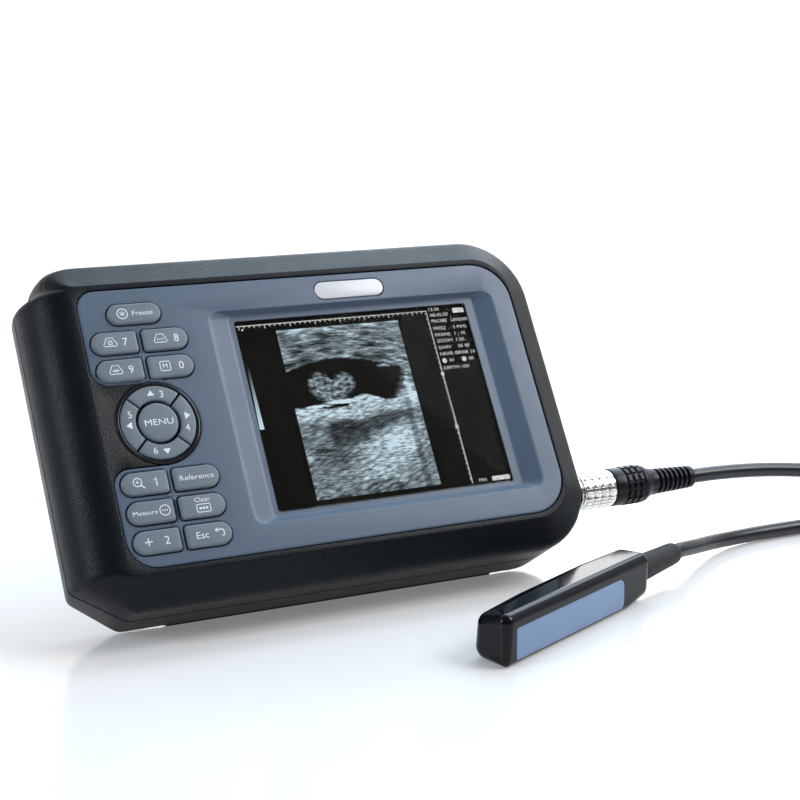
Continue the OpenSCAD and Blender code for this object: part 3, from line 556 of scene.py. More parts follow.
def front_case():
    outer = [(t, z, 0.12) for t, z in bevel_edge()]
    outer += [(0, z, 0) for z in (-0.35, -0.6, -1, -1.6, -2.4, -3.4, -4.6, -5.8)]
    outer += [(t, z, 0) for t, z in side_edge()]
    outer += [(0, z, 0) for z in (-12.5, -15.5, -18.5, -21.2)] + [(0.35, -21.6, 0.35), (2.6, -21.6, 2.6)]
    outer += [(2.6, z, 2.6) for z in (-15, -9, -5)]
    shell = loft([lift(case_outline(z, t, lt), z) for t, z, lt in outer], False, False)
    edge_t, edge_z, edge_l = outer[0]
    face = region(case_outline(edge_z, edge_t, edge_l), [pocket_outline(-0.55)], 0)
    wall = skin(pocket_outline, rounded(-0.55, 0, -0.4, 0, -0.4, -0.15, 2) + [(-0.4, -5)])
    under = region(case_outline(-5, 2.6, 2.6), [pocket_outline(-0.4)], -5)
    return joined(shell, face, wall, under)


piece("front_case", *front_case(), "scanner", "case_plastic", FACE, [CASE], ["front_shell"], smooth=40)

# ---- front panel ----
KEY_W, KEY_H, RISE = 20, 10, 1.5
COL_L = PAD_X - 11.3
COL_R = COL_L + 22
ROW_TOP, ROW_7, ROW_9, ROW_1, ROW_M, ROW_2 = 47.7, 35.3, 23, -26, -38.3, -50.6
KEY_ROWS = [("key_" + key, x, y) for y, *pair in (
    (ROW_7, "7", "8"), (ROW_9, "9", "0"), (ROW_1, "1", "reference"), (ROW_M, "measure", "clear"),
    (ROW_2, "2", "escape")) for key, x in zip(pair, (COL_L, COL_R))]
FREEZE_AT, FREEZE_SIZE, BADGE_AT = (PAD_X - 0.3, ROW_TOP), (23.5, 9.4), (-1.5, 52)
PANEL_BACK = -2.4
RIM, LIP = (-69.7, 68.5, -49.3, 46), (-60, 60, -46, 45.2)
RECESS, WINDOW = 3.6, (-57.4, 55.9, -44.3, 42.3)


def key_outline(d, flip):
    r, s = KEY_H / 2 - d, max(1.5 - d, 0.25)
    right = KEY_W / 2 - d
    loop = (arc(-KEY_W / 2 + KEY_H / 2, 0, r, 90, 270, 18) + arc(right - s, -r + s, s, 270, 360, 6)
            + arc(right - s, r - s, s, 0, 90, 6))
    return [(flip * p[0], p[1]) for p in loop]


def key_shape(x):
    """A key's outline in the column at x: its round end points away from the other column."""
    return lambda d: key_outline(d, 1 if x == COL_L else -1)


def pill(w, h):
    def outline(d):
        r = h / 2 - d
        return arc(-(w - h) / 2, 0, r, 90, 270, 18) + arc((w - h) / 2, 0, r, -90, 90, 18)
    return outline


def shifted(outline, x, y):
    return lambda d: [(p[0] + x, p[1] + y) for p in outline(d)]


def recess_ring(s):
    """Ring between the recess's rim (s 0) and the lip round its window (s 1), and its depth."""
    x0, x1, y0, y1 = (a + (b - a) * s for a, b in zip(RIM, LIP))
    ease, low = 0.1, 0.07
    if s < ease:
        f = (s + ease) ** 2 / (4 * ease)
    elif s > 1 - low:
        f = 1 - (1 + low - s) ** 2 / (4 * low)
    else:
        f = s
    return lift(soft_box(x0, x1, y0, y1, 5 - 3 * s, 12), -RECESS * f)


def rib(x, y, w, h):
    """A raised line between keys; w and h are half its sides."""
    return skin(lambda d: soft_box(x - w + d, x + w - d, y - h + d, y + h - d, 0.05, 2),
                [(-0.25, -0.02), (-0.05, 0.1), (0.1, 0.22)], False, True)


def front_panel():
    edge = rounded(0.0, -0.75, 0, 0, 0.8, 0, 5)
    shell = skin(panel_outline, [(0, PANEL_BACK)] + edge + [(1.3, 0)])
    openings = [shifted(key_shape(x), x, y) for _, x, y in KEY_ROWS]
    openings += [shifted(pill(*FREEZE_SIZE), *FREEZE_AT), shifted(pill(33.4, 8), *BADGE_AT)]
    rim = [(-0.9, 0)] + rounded(-0.7, 0, -0.35, 0, -0.35, -0.35, 4) + [(-0.35, PANEL_BACK)]
    rims = [skin(o, rim) for o in openings]
    steps = [-0.1, -0.05, 0, 0.05, 0.1, 0.2, 0.35, 0.5, 0.65, 0.8, 0.93, 0.96, 1.0, 1.04, 1.07]
    slopes = [recess_ring(s) for s in steps]
    ledge = soft_box(*WINDOW, 1.2, 12)
    slopes += [lift(ledge, -RECESS), lift(ledge, -4.4)]
    top = region(panel_outline(1.3), [o(-0.9) for o in openings] + [[p[:2] for p in recess_ring(-0.1)]], 0)
    ribs = [rib((COL_L + COL_R) / 2, row - 6.15, w, h)
            for row in (ROW_7, ROW_1, ROW_M) for w, h in ((0.3, 10.5), (3.4, 0.3))]
    return joined(shell, *rims, loft(slopes, False, False), top, *ribs)


piece("front_bezel", *front_panel(), "scanner", "panel_plastic", FACE, [PANEL], ["front_panel"], smooth=40)
badge_edge = [(0, -0.8)] + rounded(0, 0, 0, 0.35, 0.5, 0.35, 3)
piece("badge", *skin(shifted(pill(33.2, 7.8), *BADGE_AT), badge_edge, True, True), "scanner",
      "badge_white", FACE, [BADGE], ["badge_plate"], smooth=40)

# ---- keys ----
CAP = [(0.2, -2.9)] + rounded(0.2, RISE - 0.95, 0.2, RISE, 1.35, RISE, 6)


def trapezoid(x, y, mark):
    """Icon of a scan sector, with a mark inside."""
    loop = ((-1.3, 1.9), (1.3, 1.9), (2.9, -1.2), (2.4, -1.8), (-2.4, -1.8), (-2.9, -1.2))
    return [stroke([(x + a, y + b) for a, b in loop], 0.36, True), *mark(x, y)]


def box_mark(x, y):
    return [stroke(soft_box(x - 0.8, x + 0.8, y - 1.0, y + 0.6, 0.2, 2), 0.3, True),
            stroke([(x - 0.4, y - 0.2), (x + 0.4, y - 0.2)], 0.3)]


def wave_mark(x, y):
    return [stroke([(x - 1.5 + 0.5 * i, y - 0.5 + (0.55 if i % 2 else -0.35)) for i in range(7)], 0.3)]


def hash_mark(x, y):
    return [stroke([(x - 1.5, y - 0.4), (x + 1.5, y - 0.4)], 0.3)] + [
        stroke([(x + i * 0.75, y - 1.1), (x + i * 0.75, y + 0.4)], 0.28) for i in (-1, 0, 1)]


def lens_icon(x, y):
    return [stroke(circle(x, y, 1.75), 0.42, True), stroke([(x - 0.8, y), (x + 0.8, y)], 0.3),
            stroke([(x, y - 0.8), (x, y + 0.8)], 0.3),
            stroke([(x + 1.25, y - 1.3), (x + 2.7, y - 2.7)], 0.55)]


LEGENDS = {
    "key_7": trapezoid(-2, 0.2, box_mark) + [words("7", 3.4, 4.4)],
    "key_8": trapezoid(-2.4, 0.2, wave_mark) + [words("8", 3.4, 4.6)],
    "key_9": trapezoid(-2.1, 0.2, hash_mark) + [words("9", 3.4, 4.4)],
    "key_0": [stroke(soft_box(-5, -0.7, -2, 2.1, 0.7, 4), 0.36, True), words("M", 2.3, -2.85, 0.05, 0.95),
              words("0", 3.4, 4.2)],
    "key_1": lens_icon(-3.2, 0.5) + [stroke([(3.7, 0.8), (4.75, 1.62), (4.75, -1.7)], 0.46)],
    "key_reference": [words("Reference", 2.2, 0, 0.1, 1.18)],
    "key_measure": [words("Measure", 1.85, -2.6, -0.1, 1.16), stroke(circle(5.7, 0, 2.15), 0.36, True)]
        + [filled(circle(5.7 + 0.95 * i, 0, 0.3, 8)) for i in (-1, 0, 1)],
    "key_clear": [words("Clear", 1.9, 0, 2.5, 1.15),
                  stroke(soft_box(-2.9, 2.9, -2.8, 0.5, 0.5, 3), 0.34, True)]
        + [filled(soft_box(-1.9 + 1.35 * i, -0.9 + 1.35 * i, -1.7, -0.7, 0.1, 1)) for i in range(3)],
    "key_2": [words("2", 3.4, 4), stroke([(-5.4, 0), (-2.2, 0)], 0.5),
              stroke([(-3.8, -1.6), (-3.8, 1.6)], 0.5)],
    "key_escape": [words("Esc", 2.9, -3, 0, 1.05),
                   stroke([(2.7, 1.3), (5.9, 1.3), (6.2, 0.9), (6.2, -1.2), (5, -1.2)], 0.5),
                   filled([(2.2, 1.3), (3.6, 2.3), (3.6, 0.3)])],
    "key_freeze": [stroke(circle(-5.3, 0, 2.2), 0.4, True), words("Freeze", 2.1, 3.4, 0, 1.15)]
        + [stroke([(-5.3 - 1.4 * cos(a), -1.4 * sin(a)),
                   (-5.3 + 1.4 * cos(a), 1.4 * sin(a))], 0.28) for a in (0.52, 1.57, 2.62)],
}

for name, x, y in KEY_ROWS + [("key_freeze", *FREEZE_AT)]:
    shape = pill(*FREEZE_SIZE) if name == "key_freeze" else key_shape(x)
    piece(name.replace("key_", "cap_"), *skin(shifted(shape, x, y), CAP, True, True), name, "key_rubber",
          FACE, [KEYS], [name], smooth=45)
    legend(name.replace("key_", "legend_"), name, x, y, RISE, *LEGENDS[name])

PAD_R, ARC_IN, ARC_GAP, MENU_R = 15.9, 9.6, 0.4, 8.4


def pad_outline(turn):
    def outline(d):
        def end(r):
            return 45 - degrees(asin((ARC_GAP + d) / r))
        out, low = PAD_R - d, ARC_IN + d
        loop = arc(PAD_X, PAD_Y, out, turn - end(out), turn + end(out), 20)
        return loop + arc(PAD_X, PAD_Y, low, turn + end(low), turn - end(low), 14)
    return outline


def arrow(x, y, turn):
    c, s = cos(radians(turn)), sin(radians(turn))
    return filled([(x + a * c - b * s, y + a * s + b * c) for a, b in ((1.5, 0), (-0.9, 1.6), (-0.9, -1.6))])


PAD_TOP = RISE - 0.2
PAD_CAP = [(0, -2.9)] + rounded(0, PAD_TOP - 0.7, 0, PAD_TOP, 0.9, PAD_TOP, 5)
PADS = {"pad_right": (0, [arrow(12.4, 1.6, 0), words("4", 2.9, 11.6, -3.6)]),
        "pad_up": (90, [arrow(-1, 12.5, 90), words("3", 2.9, 3.6, 12.0)]),
        "pad_left": (180, [arrow(-12.4, -0.4, 180), words("5", 2.9, -11.6, 4.3)]),
        "pad_down": (270, [arrow(0.8, -12.6, 270), words("6", 2.9, -4.0, -12.0)])}
for name, (turn, marks) in PADS.items():
    piece("arc_" + name[4:], *skin(pad_outline(turn), PAD_CAP, True, True), name, "key_rubber", FACE, [KEYS],
          [name], smooth=45)
    legend("legend_" + name[4:], name, PAD_X, PAD_Y, PAD_TOP, *marks)


def disc(r):
    return lambda d: arc(PAD_X, PAD_Y, r - d, 0, 352.5, 47)


menu_top = [(0, -2.9)] + rounded(0, RISE - 1.0, 0, RISE, 1.3, RISE, 6) + [(2.5, RISE + 0.03)]
piece("cap_menu", *skin(disc(MENU_R), menu_top, True, True), "key_menu", "key_rubber", FACE, [KEYS],
      ["key_menu"], smooth=45)
legend("legend_menu", "key_menu", PAD_X, PAD_Y, RISE + 0.03, words("MENU", 2.7, 0, 0, 1.2))
ring_line = ([(0, -1.5)] + rounded(0, 0.1, 0, 0.45, 0.5, 0.45, 4)
             + rounded(1.1, 0.45, 1.6, 0.45, 1.6, 0.1, 4) + [(1.6, -1.5), (0, -1.5)])
piece("pad_trim", *skin(disc(RING_R - 0.3), ring_line), "scanner", "ring_black", FACE, [RING],
      ["pad_ring"], smooth=45)

# ---- display ----
# half the lit area, half the module, and the module's front and back
LIT_W, LIT_H = 57.6, 43.2
MODULE_W, MODULE_H, MODULE_FRONT, MODULE_BACK = 65, 50, -5.3, -12.8


class Field:
    """A number that varies over a surface: a node's output that can be reckoned with."""

    def __init__(self, tree, out):
        self.tree, self.out = tree, out

    def math(self, kind, *others):
        node = self.tree.nodes.new("ShaderNodeMath")
        node.operation = kind
        for slot, value in zip(node.inputs, (self, *others)):
            if isinstance(value, Field):
                self.tree.links.new(value.out, slot)
            else:
                slot.default_value = value
        return Field(self.tree, node.outputs[0])

    def __add__(self, other):
        return self.math("ADD", other)

    def __sub__(self, other):
        return self.math("SUBTRACT", other)

    def __mul__(self, other):
        return self.math("MULTIPLY", other)

    def flip(self):
        return self * -1 + 1

    def most(self, other):
        return self.math("MAXIMUM", other)

    def rise(self, low, high):
        """0 below low, 1 above high, and smooth between."""
        node = add(self.tree, "ShaderNodeMapRange", From_Min=low, From_Max=high)
        node.interpolation_type = "SMOOTHSTEP"
        self.tree.links.new(self.out, node.inputs["Value"])
        return Field(self.tree, node.outputs["Result"])


def picture():
    """A scan picture drawn with noise, in millimetres from the middle of the display."""
    m, t, bsdf = material("scan_picture", Base_Color=(0.003, 0.003, 0.003, 1), Roughness=0.4,
                          Specular_IOR_Level=0.02, Emission_Strength=1.0)
    split = t.nodes.new("ShaderNodeSeparateXYZ")
    t.links.new(coordinates(t), split.inputs["Vector"])
    x, y = (Field(t, split.outputs[i]) * (1 / MM) for i in (0, 1))

    def grain(u, v, su, sv, detail, seed):
        where = t.nodes.new("ShaderNodeCombineXYZ")
        for value, k in ((u * su, 0), (v * sv, 1)):
            t.links.new(value.out, where.inputs[k])
        where.inputs[2].default_value = seed
        return Field(t, noise_node(t, where.outputs[0], 1, detail))

    wx = x + (grain(x, y, 0.3, 0.45, 3, 1) - 0.5) * 3.4
    wy = y + (grain(x, y, 0.3, 0.45, 3, 7) - 0.5) * 2.4

    def blob(cx, cy, rx, ry, turn=0, soft=0.25):
        c, s = cos(radians(turn)), sin(radians(turn))
        dx, dy = wx - cx, wy - cy
        u, v = (dx * c + dy * s) * (1 / rx), (dy * c - dx * s) * (1 / ry)
        return (u * u + v * v).math("SQRT").rise(1 - soft, 1 + soft).flip()

    arch = y + (x + 14) * (x + 14) * 0.004
    bands = grain(x, arch, 0.09, 0.42, 4, 3)
    c, s = cos(radians(20)), sin(radians(20))
    streaks = grain(x * c + y * s, y * c - x * s, 0.2, 0.75, 5, 5)
    upper = (bands - 0.5) * 2.1 + 0.4
    lower = (streaks - 0.5) * 1.3 + (grain(x, y, 0.06, 0.14, 2, 31) - 0.5) * 0.9
    lower = lower + (y + 7).rise(0, 5) * 0.26 + 0.5
    over = wy.rise(2, 7)
    tissue = upper * over + lower * over.flip()
    tissue = tissue + y.rise(34.5, 36.5) * 0.25
    tissue = tissue + blob(-14, -4, 26, 3, 0, 0.5) * 0.16
    shade = blob(-16, -12.8, 10, 6.4, 0, 0.22).most(blob(-1, -9, 16.5, 3.2, 12, 0.35))
    tissue = tissue * (shade * -0.58 + 1) * (blob(-27, -24, 10, 16, 0, 0.6) * -0.25 + 1)
    tissue = tissue + blob(3, -22, 17, 7, 24, 0.6) * 0.34
    top = (wx + 14.6) * (wx + 14.6) * -0.0078 + 22.2
    bottom = blob(-4.6, 1, 6.5, 8, 0, 0.6) * 3.4 + blob(-19.5, 1, 9, 8, 0, 0.4) * -1.3 + 0.2
    fluid = (top - wy).rise(-0.4, 0.9) * (wy - bottom).rise(-0.3, 0.9)
    fluid = fluid * (wx * -1 + wy * 0.5 + 10.5).rise(-3, 3)
    tissue = tissue * (fluid * -0.97 + 1)
    growth = blob(-23.2, 9.8, 6.2, 6).most(blob(-13.2, 10.2, 5.4, 4.7))
    growth = growth.most(blob(-19, 5.6, 6.4, 4.2)) * blob(-17.8, 15.2, 1.8, 3.2, 0, 0.3).flip()
    tissue = tissue.most(growth * ((grain(x, y, 0.4, 0.6, 2, 21) - 0.5) * 1.8 + 0.44))
    for cx, cy, rx, ry, level in ((-15.6, 1.7, 7.5, 0.75, 1.7), (-27.8, 0.5, 6, 0.65, 1.5),
                                  (8.4, 16.3, 2.8, 0.6, 0.7)):
        tissue = tissue.most(blob(cx, cy, rx, ry, 0, 0.5) * level)
    tissue = tissue + blob(17.6, 5, 1.5, 5, 0, 0.5) * 0.35 + blob(18.6, 1, 2.4, 2, 0, 0.5) * 0.4
    shadow = (x - 15.3).math("ABSOLUTE").rise(0.6, 2.4).flip() * y.rise(-6, 6).flip()
    tissue = tissue * (shadow * -0.4 + 1)
    speckle = (grain(x, y, 0.32, 1.5, 2, 9) - 0.5) * 2.1 + (grain(x, y, 0.2, 0.8, 2, 11) - 0.5) * 1.3 + 1
    level = (tissue * speckle).most(0.0).math("MINIMUM", 1.0).math("POWER", 1.7)
    sides = [inward.rise(0, 0.15) for inward in (x + 38.4, x * -1 + 20.9, y + 41, y * -1 + 37.2)]
    level = level * (sides[0] * sides[1] * sides[2] * sides[3]) * 0.86
    # grey scale bar at the left, narrow and dim at its top
    down = (y * -1 + 21.7) * (1 / 28.5)
    bar = (down * 0.9 + x + 55.5).rise(0, 0.12) * (down * 0.5 - x - 54.7).rise(0, 0.12) * (
        down.rise(0, 0.02) * down.rise(1, 1.01).flip())
    level = level + bar * down * 0.85
    mix = t.nodes.new("ShaderNodeCombineColor")
    for k, (gain, base) in enumerate(((0.70, 0.0045), (0.88, 0.0042), (0.95, 0.003))):
        t.links.new((level * gain + base).out, mix.inputs[k])
    t.links.new(mix.outputs[0], bsdf.inputs["Emission Color"])
    return m


def lit(name, colour, strength):
    """A shining ink of slightly uneven brightness."""
    m, t, bsdf = material(name, Base_Color=(0.02, 0.02, 0.02, 1), Emission_Strength=strength)
    place = coordinates(t)
    dim = tuple(c * 0.7 for c in colour)
    uneven = ramp(t, noise_node(t, place, 900, 2), [(0.35, dim), (0.6, colour)])
    t.links.new(uneven, bsdf.inputs["Emission Color"])
    return m


PICTURE, MARKS = picture(), lit("screen_marks", (0.8, 0.8, 0.74), 0.8)


def display():
    case = loft([lift(soft_box(-MODULE_W + d, MODULE_W - d, -MODULE_H + d, MODULE_H - d, 1.5, 4), z)
                 for d, z in ((0.6, MODULE_BACK), (0, MODULE_BACK + 0.6), (0, MODULE_FRONT))], True, False)
    edge = [(-LIT_W, -LIT_H), (LIT_W, -LIT_H), (LIT_W, LIT_H), (-LIT_W, LIT_H)]
    border = region(soft_box(-MODULE_W, MODULE_W, -MODULE_H, MODULE_H, 1.5, 4), [edge], MODULE_FRONT)
    shape = joined(case, border, (lift(edge, MODULE_FRONT), [(0, 1, 2, 3)]))
    return *shape, [0] * (len(shape[1]) - 1) + [1]


verts, faces, kinds = display()
piece("display_panel", verts, faces, "scanner", "display_black", FACE, [DISPLAY, PICTURE], ["display_module"],
      smooth=30, kinds=kinds, own_frame=True)


def screen_marks():
    marks = [stroke([(-56.2, 40.4), (36.2, 40.4), (36.2, -42.4)], 0.42)]
    for i in range(38):
        marks.append(stroke([(-55 + 2.4 * i, 40.3), (-55 + 2.4 * i, 39.4 if i % 5 else 38.7)], 0.4))
    for i in range(34):
        marks.append(stroke([(36.1, 39 - 2.4 * i), (35.3, 39 - 2.4 * i)], 0.4))
    marks += [filled(circle(36, y, 0.95, 12)) for y in (9.7, -15.5)]
    marks += [filled(circle(-53.6, 38.7, 0.5, 8)), filled(soft_box(49.6, 55.4, 38.5, 40.8, 0.3, 2)),
              filled(soft_box(46.4, 55.4, -42.4, -40.4, 0.1, 1))]
    rows = [(41, "12:30"), (38.2, "08:45:20"), (35.2, "PROBE", "LINEAR"), (31.7, "FREQ", "5 MHz"),
            (28.5, "FRAME", "1 : 15"), (25.5, "ZOOM", "1.50"), (22.4, "GAIN", "36 40"),
            (19.2, "NEAR 08", "FAR 16"), (12.4, "DEPTH 160")]
    for y, *texts in rows:
        for x, text in zip((37.6, 47.6), texts):
            word = words(text, 1.5, 0, y, 1.25)
            marks.append(moved(word, x - min(v[0] for v in word[0]), 0))
    for x, value in ((38.9, "03"), (48.9, "08")):
        marks += [filled(circle(x, 15.9, 1.15, 14)), words(value, 1.4, x + 3.6, 15.9, 1.25)]
    marks.append(words("MIN", 1.4, 41.6, -41.4, 1.1))
    verts, faces = joined(*marks)
    return slab(verts, faces, MODULE_FRONT + 0.01, MODULE_FRONT + 0.04)


piece("screen_lettering", *screen_marks(), "scanner", "display_black", FACE, [MARKS], smooth=0,
      own_frame=True)


# ---- plug and socket ----
def turned(profile, sectors=12, groove=0.11, at=(0, 0)):
    """Skin turned round the x axis; profile holds (x, radius in the grooves, radius between them)."""
    cuts = ((0, 0), (groove, 0), (groove + 0.06, 1), (0.5, 1), (0.94 - groove, 1), (1 - groove, 0))
    rings = []
    for x, low, high in profile:
        ring = []
        for i in range(sectors):
            for f, w in cuts:
                r, a = low + w * (high - low), 2 * pi * (i + f) / sectors
                ring.append((x, at[0] + r * cos(a), at[1] + r * sin(a)))
        rings.append(ring)
    return rings


def plain(*profile):
    return [(x, r, r) for x, r in profile]


def knurl(x0, x1, low, high, soft=0.22):
    return [(x0, low, low), (x0 + soft, low, high - 0.08), (x0 + 2 * soft, low, high),
            (x1 - 2 * soft, low, high), (x1 - soft, low, high - 0.08), (x1, low, low)]


COLLAR_R, BORE_R = 8.7, 6.85
collar = plain((124, BORE_R), (124, 8.1), (124.25, 8.45), (124.7, 8.45))
for i in range(4):
    collar += knurl(124.9 + 4.05 * i, 128.6 + 4.05 * i, COLLAR_R - 0.45, COLLAR_R)
collar += plain((141.3, 8.3), (141.6, 8.1), (141.6, BORE_R), (124, BORE_R))
piece("knurled_collar", *loft(turned(collar, 32, 0.1), False, False), "plug_collar", "connector_metal",
      PLUG, [CHROME], ["plug_collar"], smooth=38)

BODY_R = 9.1
body = plain((131.5, 5.6), (131.5, 6.5), (141.9, 6.5), (141.9, 8.3), (142.1, 8.7), (142.6, 8.85),
             (147.4, 8.85), (147.7, 8.6), (148, 8.3))
for i in range(3):
    body += knurl(148.1 + 3.3 * i, 150.6 + 3.3 * i, 8.25, BODY_R, 0.3)
body += plain((157.4, 8.3), (158, 8.7), (158.8, 8.8), (159.8, 8.5), (161, 7.8), (162.4, 7.0),
              (163.6, 6.5), (165, 6.3), (166.6, 6.25), (166.6, 5.6), (147.5, 5.6), (131.5, 5.6))
piece("plug_grip", *loft(turned(body, 14, 0.1), False, False), "scanner", "plug_black",
      PLUG, [PLUG_BLACK], ["plug_body"], smooth=38)


def ribbed(x0, x1, r0, r1, ribs, depth):
    """Strain relief with rounded ribs, from radius r0 to r1."""
    out, pitch = [], (x1 - x0) / ribs
    for i in range(ribs):
        a = x0 + pitch * i
        r = r0 + (r1 - r0) * i / (ribs - 1)
        out += plain((a, r - depth), (a + 0.42 * pitch, r - depth), (a + 0.47 * pitch, r - 0.15),
                     (a + 0.55 * pitch, r), (a + 0.9 * pitch, r), (a + 0.97 * pitch, r - 0.15))
    return out


relief = plain((166.6, 4.0), (166.6, 5.9)) + ribbed(167.2, 186.6, 6.0, 5.3, 7, 1.1) + plain(
    (186.8, 5.2), (188, 5.1), (188.4, 4.8), (188.5, 4.4), (188.5, 3.6))
piece("plug_relief", *loft(turned(relief)), "scanner", "plug_black", PLUG, [PLUG_BLACK], ["plug_boot"],
      smooth=45)

PORT_X, PORT_Y, PORT_Z, PORT_R = (84, 94.5), (-57, 53), (-34, -12), 5
SEAT, SEAT_R, SEAT_X = (-48.6, -22), 9.4, 93.7


def port_outline(d):
    return soft_box(PORT_Y[0] + d, PORT_Y[1] - d, PORT_Z[0] + d, PORT_Z[1] - d, PORT_R - d, 10)


def sideways(outline, x):
    return [(x, p[0], p[1]) for p in outline]


def port_housing():
    edge = rounded(0, PORT_X[1] - 1.6, 0, PORT_X[1], 1.6, PORT_X[1], 6)
    shell = loft([sideways(port_outline(d), x) for d, x in [(0, PORT_X[0])] + edge], True, False)
    face, triangles = region(port_outline(1.6), [circle(*SEAT, SEAT_R + 0.25, 48)], 0)
    face = [(PORT_X[1], p[0], p[1]) for p in face], triangles
    seat = [sideways(circle(*SEAT, r, 48), x) for r, x in
            ((SEAT_R + 0.25, PORT_X[1]), (SEAT_R, PORT_X[1] - 0.25), (SEAT_R, SEAT_X), (6.55, SEAT_X),
             (6.55, 85))]
    return joined(shell, face, loft(seat, False, True))


piece("port_housing", *port_housing(), "scanner", "case_plastic", FACE, [CASE], ["port_block"], smooth=40)


# ---- solids that are carved ----
CUT, JOIN = "DIFFERENCE", "UNION"


def solid(shape):
    o = in_scene("solid", mesh_of("solid", *shape))
    tidy_normals(o, 0)
    return o


def carved(body, steps):
    """The body after its steps, a list of (CUT or JOIN, shape)."""
    o, helpers = solid(body), []
    for kind, shape in steps:
        cut = o.modifiers.new("cut", "BOOLEAN")
        helpers.append(solid(shape))
        cut.operation, cut.solver, cut.object = kind, "EXACT", helpers[-1]
    shape = shape_of(o)
    for helper in (o, *helpers):
        bpy.data.objects.remove(helper)
    return shape


def block(x, y, z):
    return loft([lift([(x[0], y[0]), (x[1], y[0]), (x[1], y[1]), (x[0], y[1])], h) for h in z])


def posts(places, r, z0, z1, n=32):
    return joined(*(loft([lift(circle(x, y, r, n), z0), lift(circle(x, y, r, n), z1)]) for x, y in places))


SCREWS = [(-131, 48), (-131, -50), (-22, 65), (-57, -66), (74, 58), (74, -60)]
BOARD_POSTS = [(-44, 44), (64, 44), (-44, -44), (64, -44)]
LEG_X, LEG_W, HINGE_Y, HINGE_Z, LEG_LEN, BARREL = -9, 80, 24, -39.6, 93.67, 60


def rear_case():
    depths = [-22.4, -22.75, -25, -29, -33, -36.5, -37.9, -FOOT_Z]
    outer = [(0.35 if z == -22.4 else 0, z) for z in depths] + [(0, -40), (0, -41.5), (0, -42.3)]
    outer += rounded(0, -42.5, 0, -DEPTH, 0.9, -DEPTH, 4)
    body = loft([lift(case_outline(z, t), z) for t, z in outer])
    room = loft([lift(case_outline(max(z, -FOOT_Z), 2.6 + BACK_CUT * max(0, -z - FOOT_Z) / 4.5), z)
                 for z in (-20, -24, -29, -33, -36.5, -38.5, -40.4)])
    left, right = LEG_X - LEG_W / 2, LEG_X + LEG_W / 2
    hinge_slot = (LEG_X - BARREL / 2 - 0.4, LEG_X + BARREL / 2 + 0.4)
    notch = [lift(circle(right, HINGE_Y - LEG_LEN + 22, 10, 48), z) for z in (-44, -40)]
    pin = [[(x, HINGE_Y + p[0], HINGE_Z + p[1]) for p in circle(0, 0, 1.52, 24)] for x in (-45.1, 27.1)]
    port = [sideways(port_outline(-0.2), x) for x in (83, 113)]
    return carved(body, [
        (CUT, room),
        (JOIN, block((-126, -56), (-50, 71), (-42, -38.6))),
        (JOIN, block((left - 2.5, right + 2.5), (-72.4, HINGE_Y + 6), (-42, -36.6))),
        (JOIN, block((left - 2.5, right + 2.5), (HINGE_Y - 7, HINGE_Y + 6), (-42.2, -34))),
        (JOIN, block((-120.4, -61.6), (-44, 68.4), (-42.1, -22.6))),
        (JOIN, posts(SCREWS, 4.4, -42, -22.4)),
        (JOIN, posts(BOARD_POSTS, 3, -42, -17.6)),
        (CUT, posts(SCREWS, 1.7, -44, -14)),
        (CUT, posts(SCREWS, 3.1, -44, -40)),
        (CUT, block((-118.8, -63.2), (-42.4, 66.8), (-50, -24.2))),
        (CUT, block((-122.2, -59.8), (-46.2, 90), (-50, -41.1))),
        (CUT, block((-123.7, -58.3), (-46.2, 90), (-41.3, -40.1))),
        (CUT, block((left - 0.5, right + 0.5), (HINGE_Y - LEG_LEN - 2, HINGE_Y - 3.8),
                             (-50, -38.6))),
        (CUT, loft(notch)),
        (CUT, block(hinge_slot, (HINGE_Y - 4.4, HINGE_Y + 3.8), (-50, -35.8))),
        (CUT, loft(pin)),
        (CUT, loft(port)),
    ])


piece("rear_case", *rear_case(), "scanner", "case_plastic", FACE, [CASE], ["rear_shell"], smooth=32)

# ---- probe ----
PROBE_L, BOOT_Z = 111, 10.5
BALLS = [(2.5, -6.5, 2.5, 2.5), (92, -6.5, 2.5, 2.5), (105, -3.5, 6, 5.5), (4.5, -5, 17, 4),
         (106, -4.5, 16.5, 4.5), (6, 3.5, 5.5, 5.5), (105, 3, 6, 6), (7, 3.5, 14, 5.5), (30, 4, 15.5, 5),
         (8, 0, 16.5, 4.5), (76, 4.5, 16.5, 4.5), (105, 3, 15, 6)]


def hull(balls, n=48):
    """Skin drawn tight over balls (x, y, z, radius)."""
    b = bmesh.new()
    for x, y, z, r in balls:
        for i in range(n // 2 + 1):
            a = pi * i / (n // 2)
            for k in range(n if 0 < i < n // 2 else 1):
                turn = 2 * pi * k / n
                b.verts.new((x + r * sin(a) * cos(turn), y + r * sin(a) * sin(turn),
                             z + r * cos(a)))
    found = bmesh.ops.convex_hull(b, input=b.verts[:])
    loose = {v for key in ("geom_interior", "geom_unused") for v in found[key]
             if isinstance(v, bmesh.types.BMVert)}
    bmesh.ops.delete(b, geom=list(loose), context="VERTS")
    bmesh.ops.dissolve_limit(b, angle_limit=radians(0.3), verts=b.verts[:], edges=b.edges[:])
    b.verts.index_update()
    shape = [tuple(v.co) for v in b.verts], [tuple(v.index for v in f.verts) for f in b.faces]
    b.free()
    return shape


def lens_outline(d):
    x0, x1, z0, z1 = 6.3 + d, 87.5 - d, 1.8 + d, 15 - d
    near, top, low = 1.2, 3.6, 2.4
    return (arc(x1 - top, z1 - top, top, 0, 90, 10)
            + arc(x0 + near, z1 - near, near, 90, 180, 6)
            + arc(x0 + near, z0 + near, near, 180, 270, 6)
            + arc(x1 - low, z0 + low, low, 270, 360, 10))


def frontways(outline, y):
    return [(p[0], y, p[1]) for p in outline]


def probe_hole():
    return loft([[(x, p[0], BOOT_Z + p[1]) for p in circle(0, 0, 4.9, 48)] for x in (103, 120)])


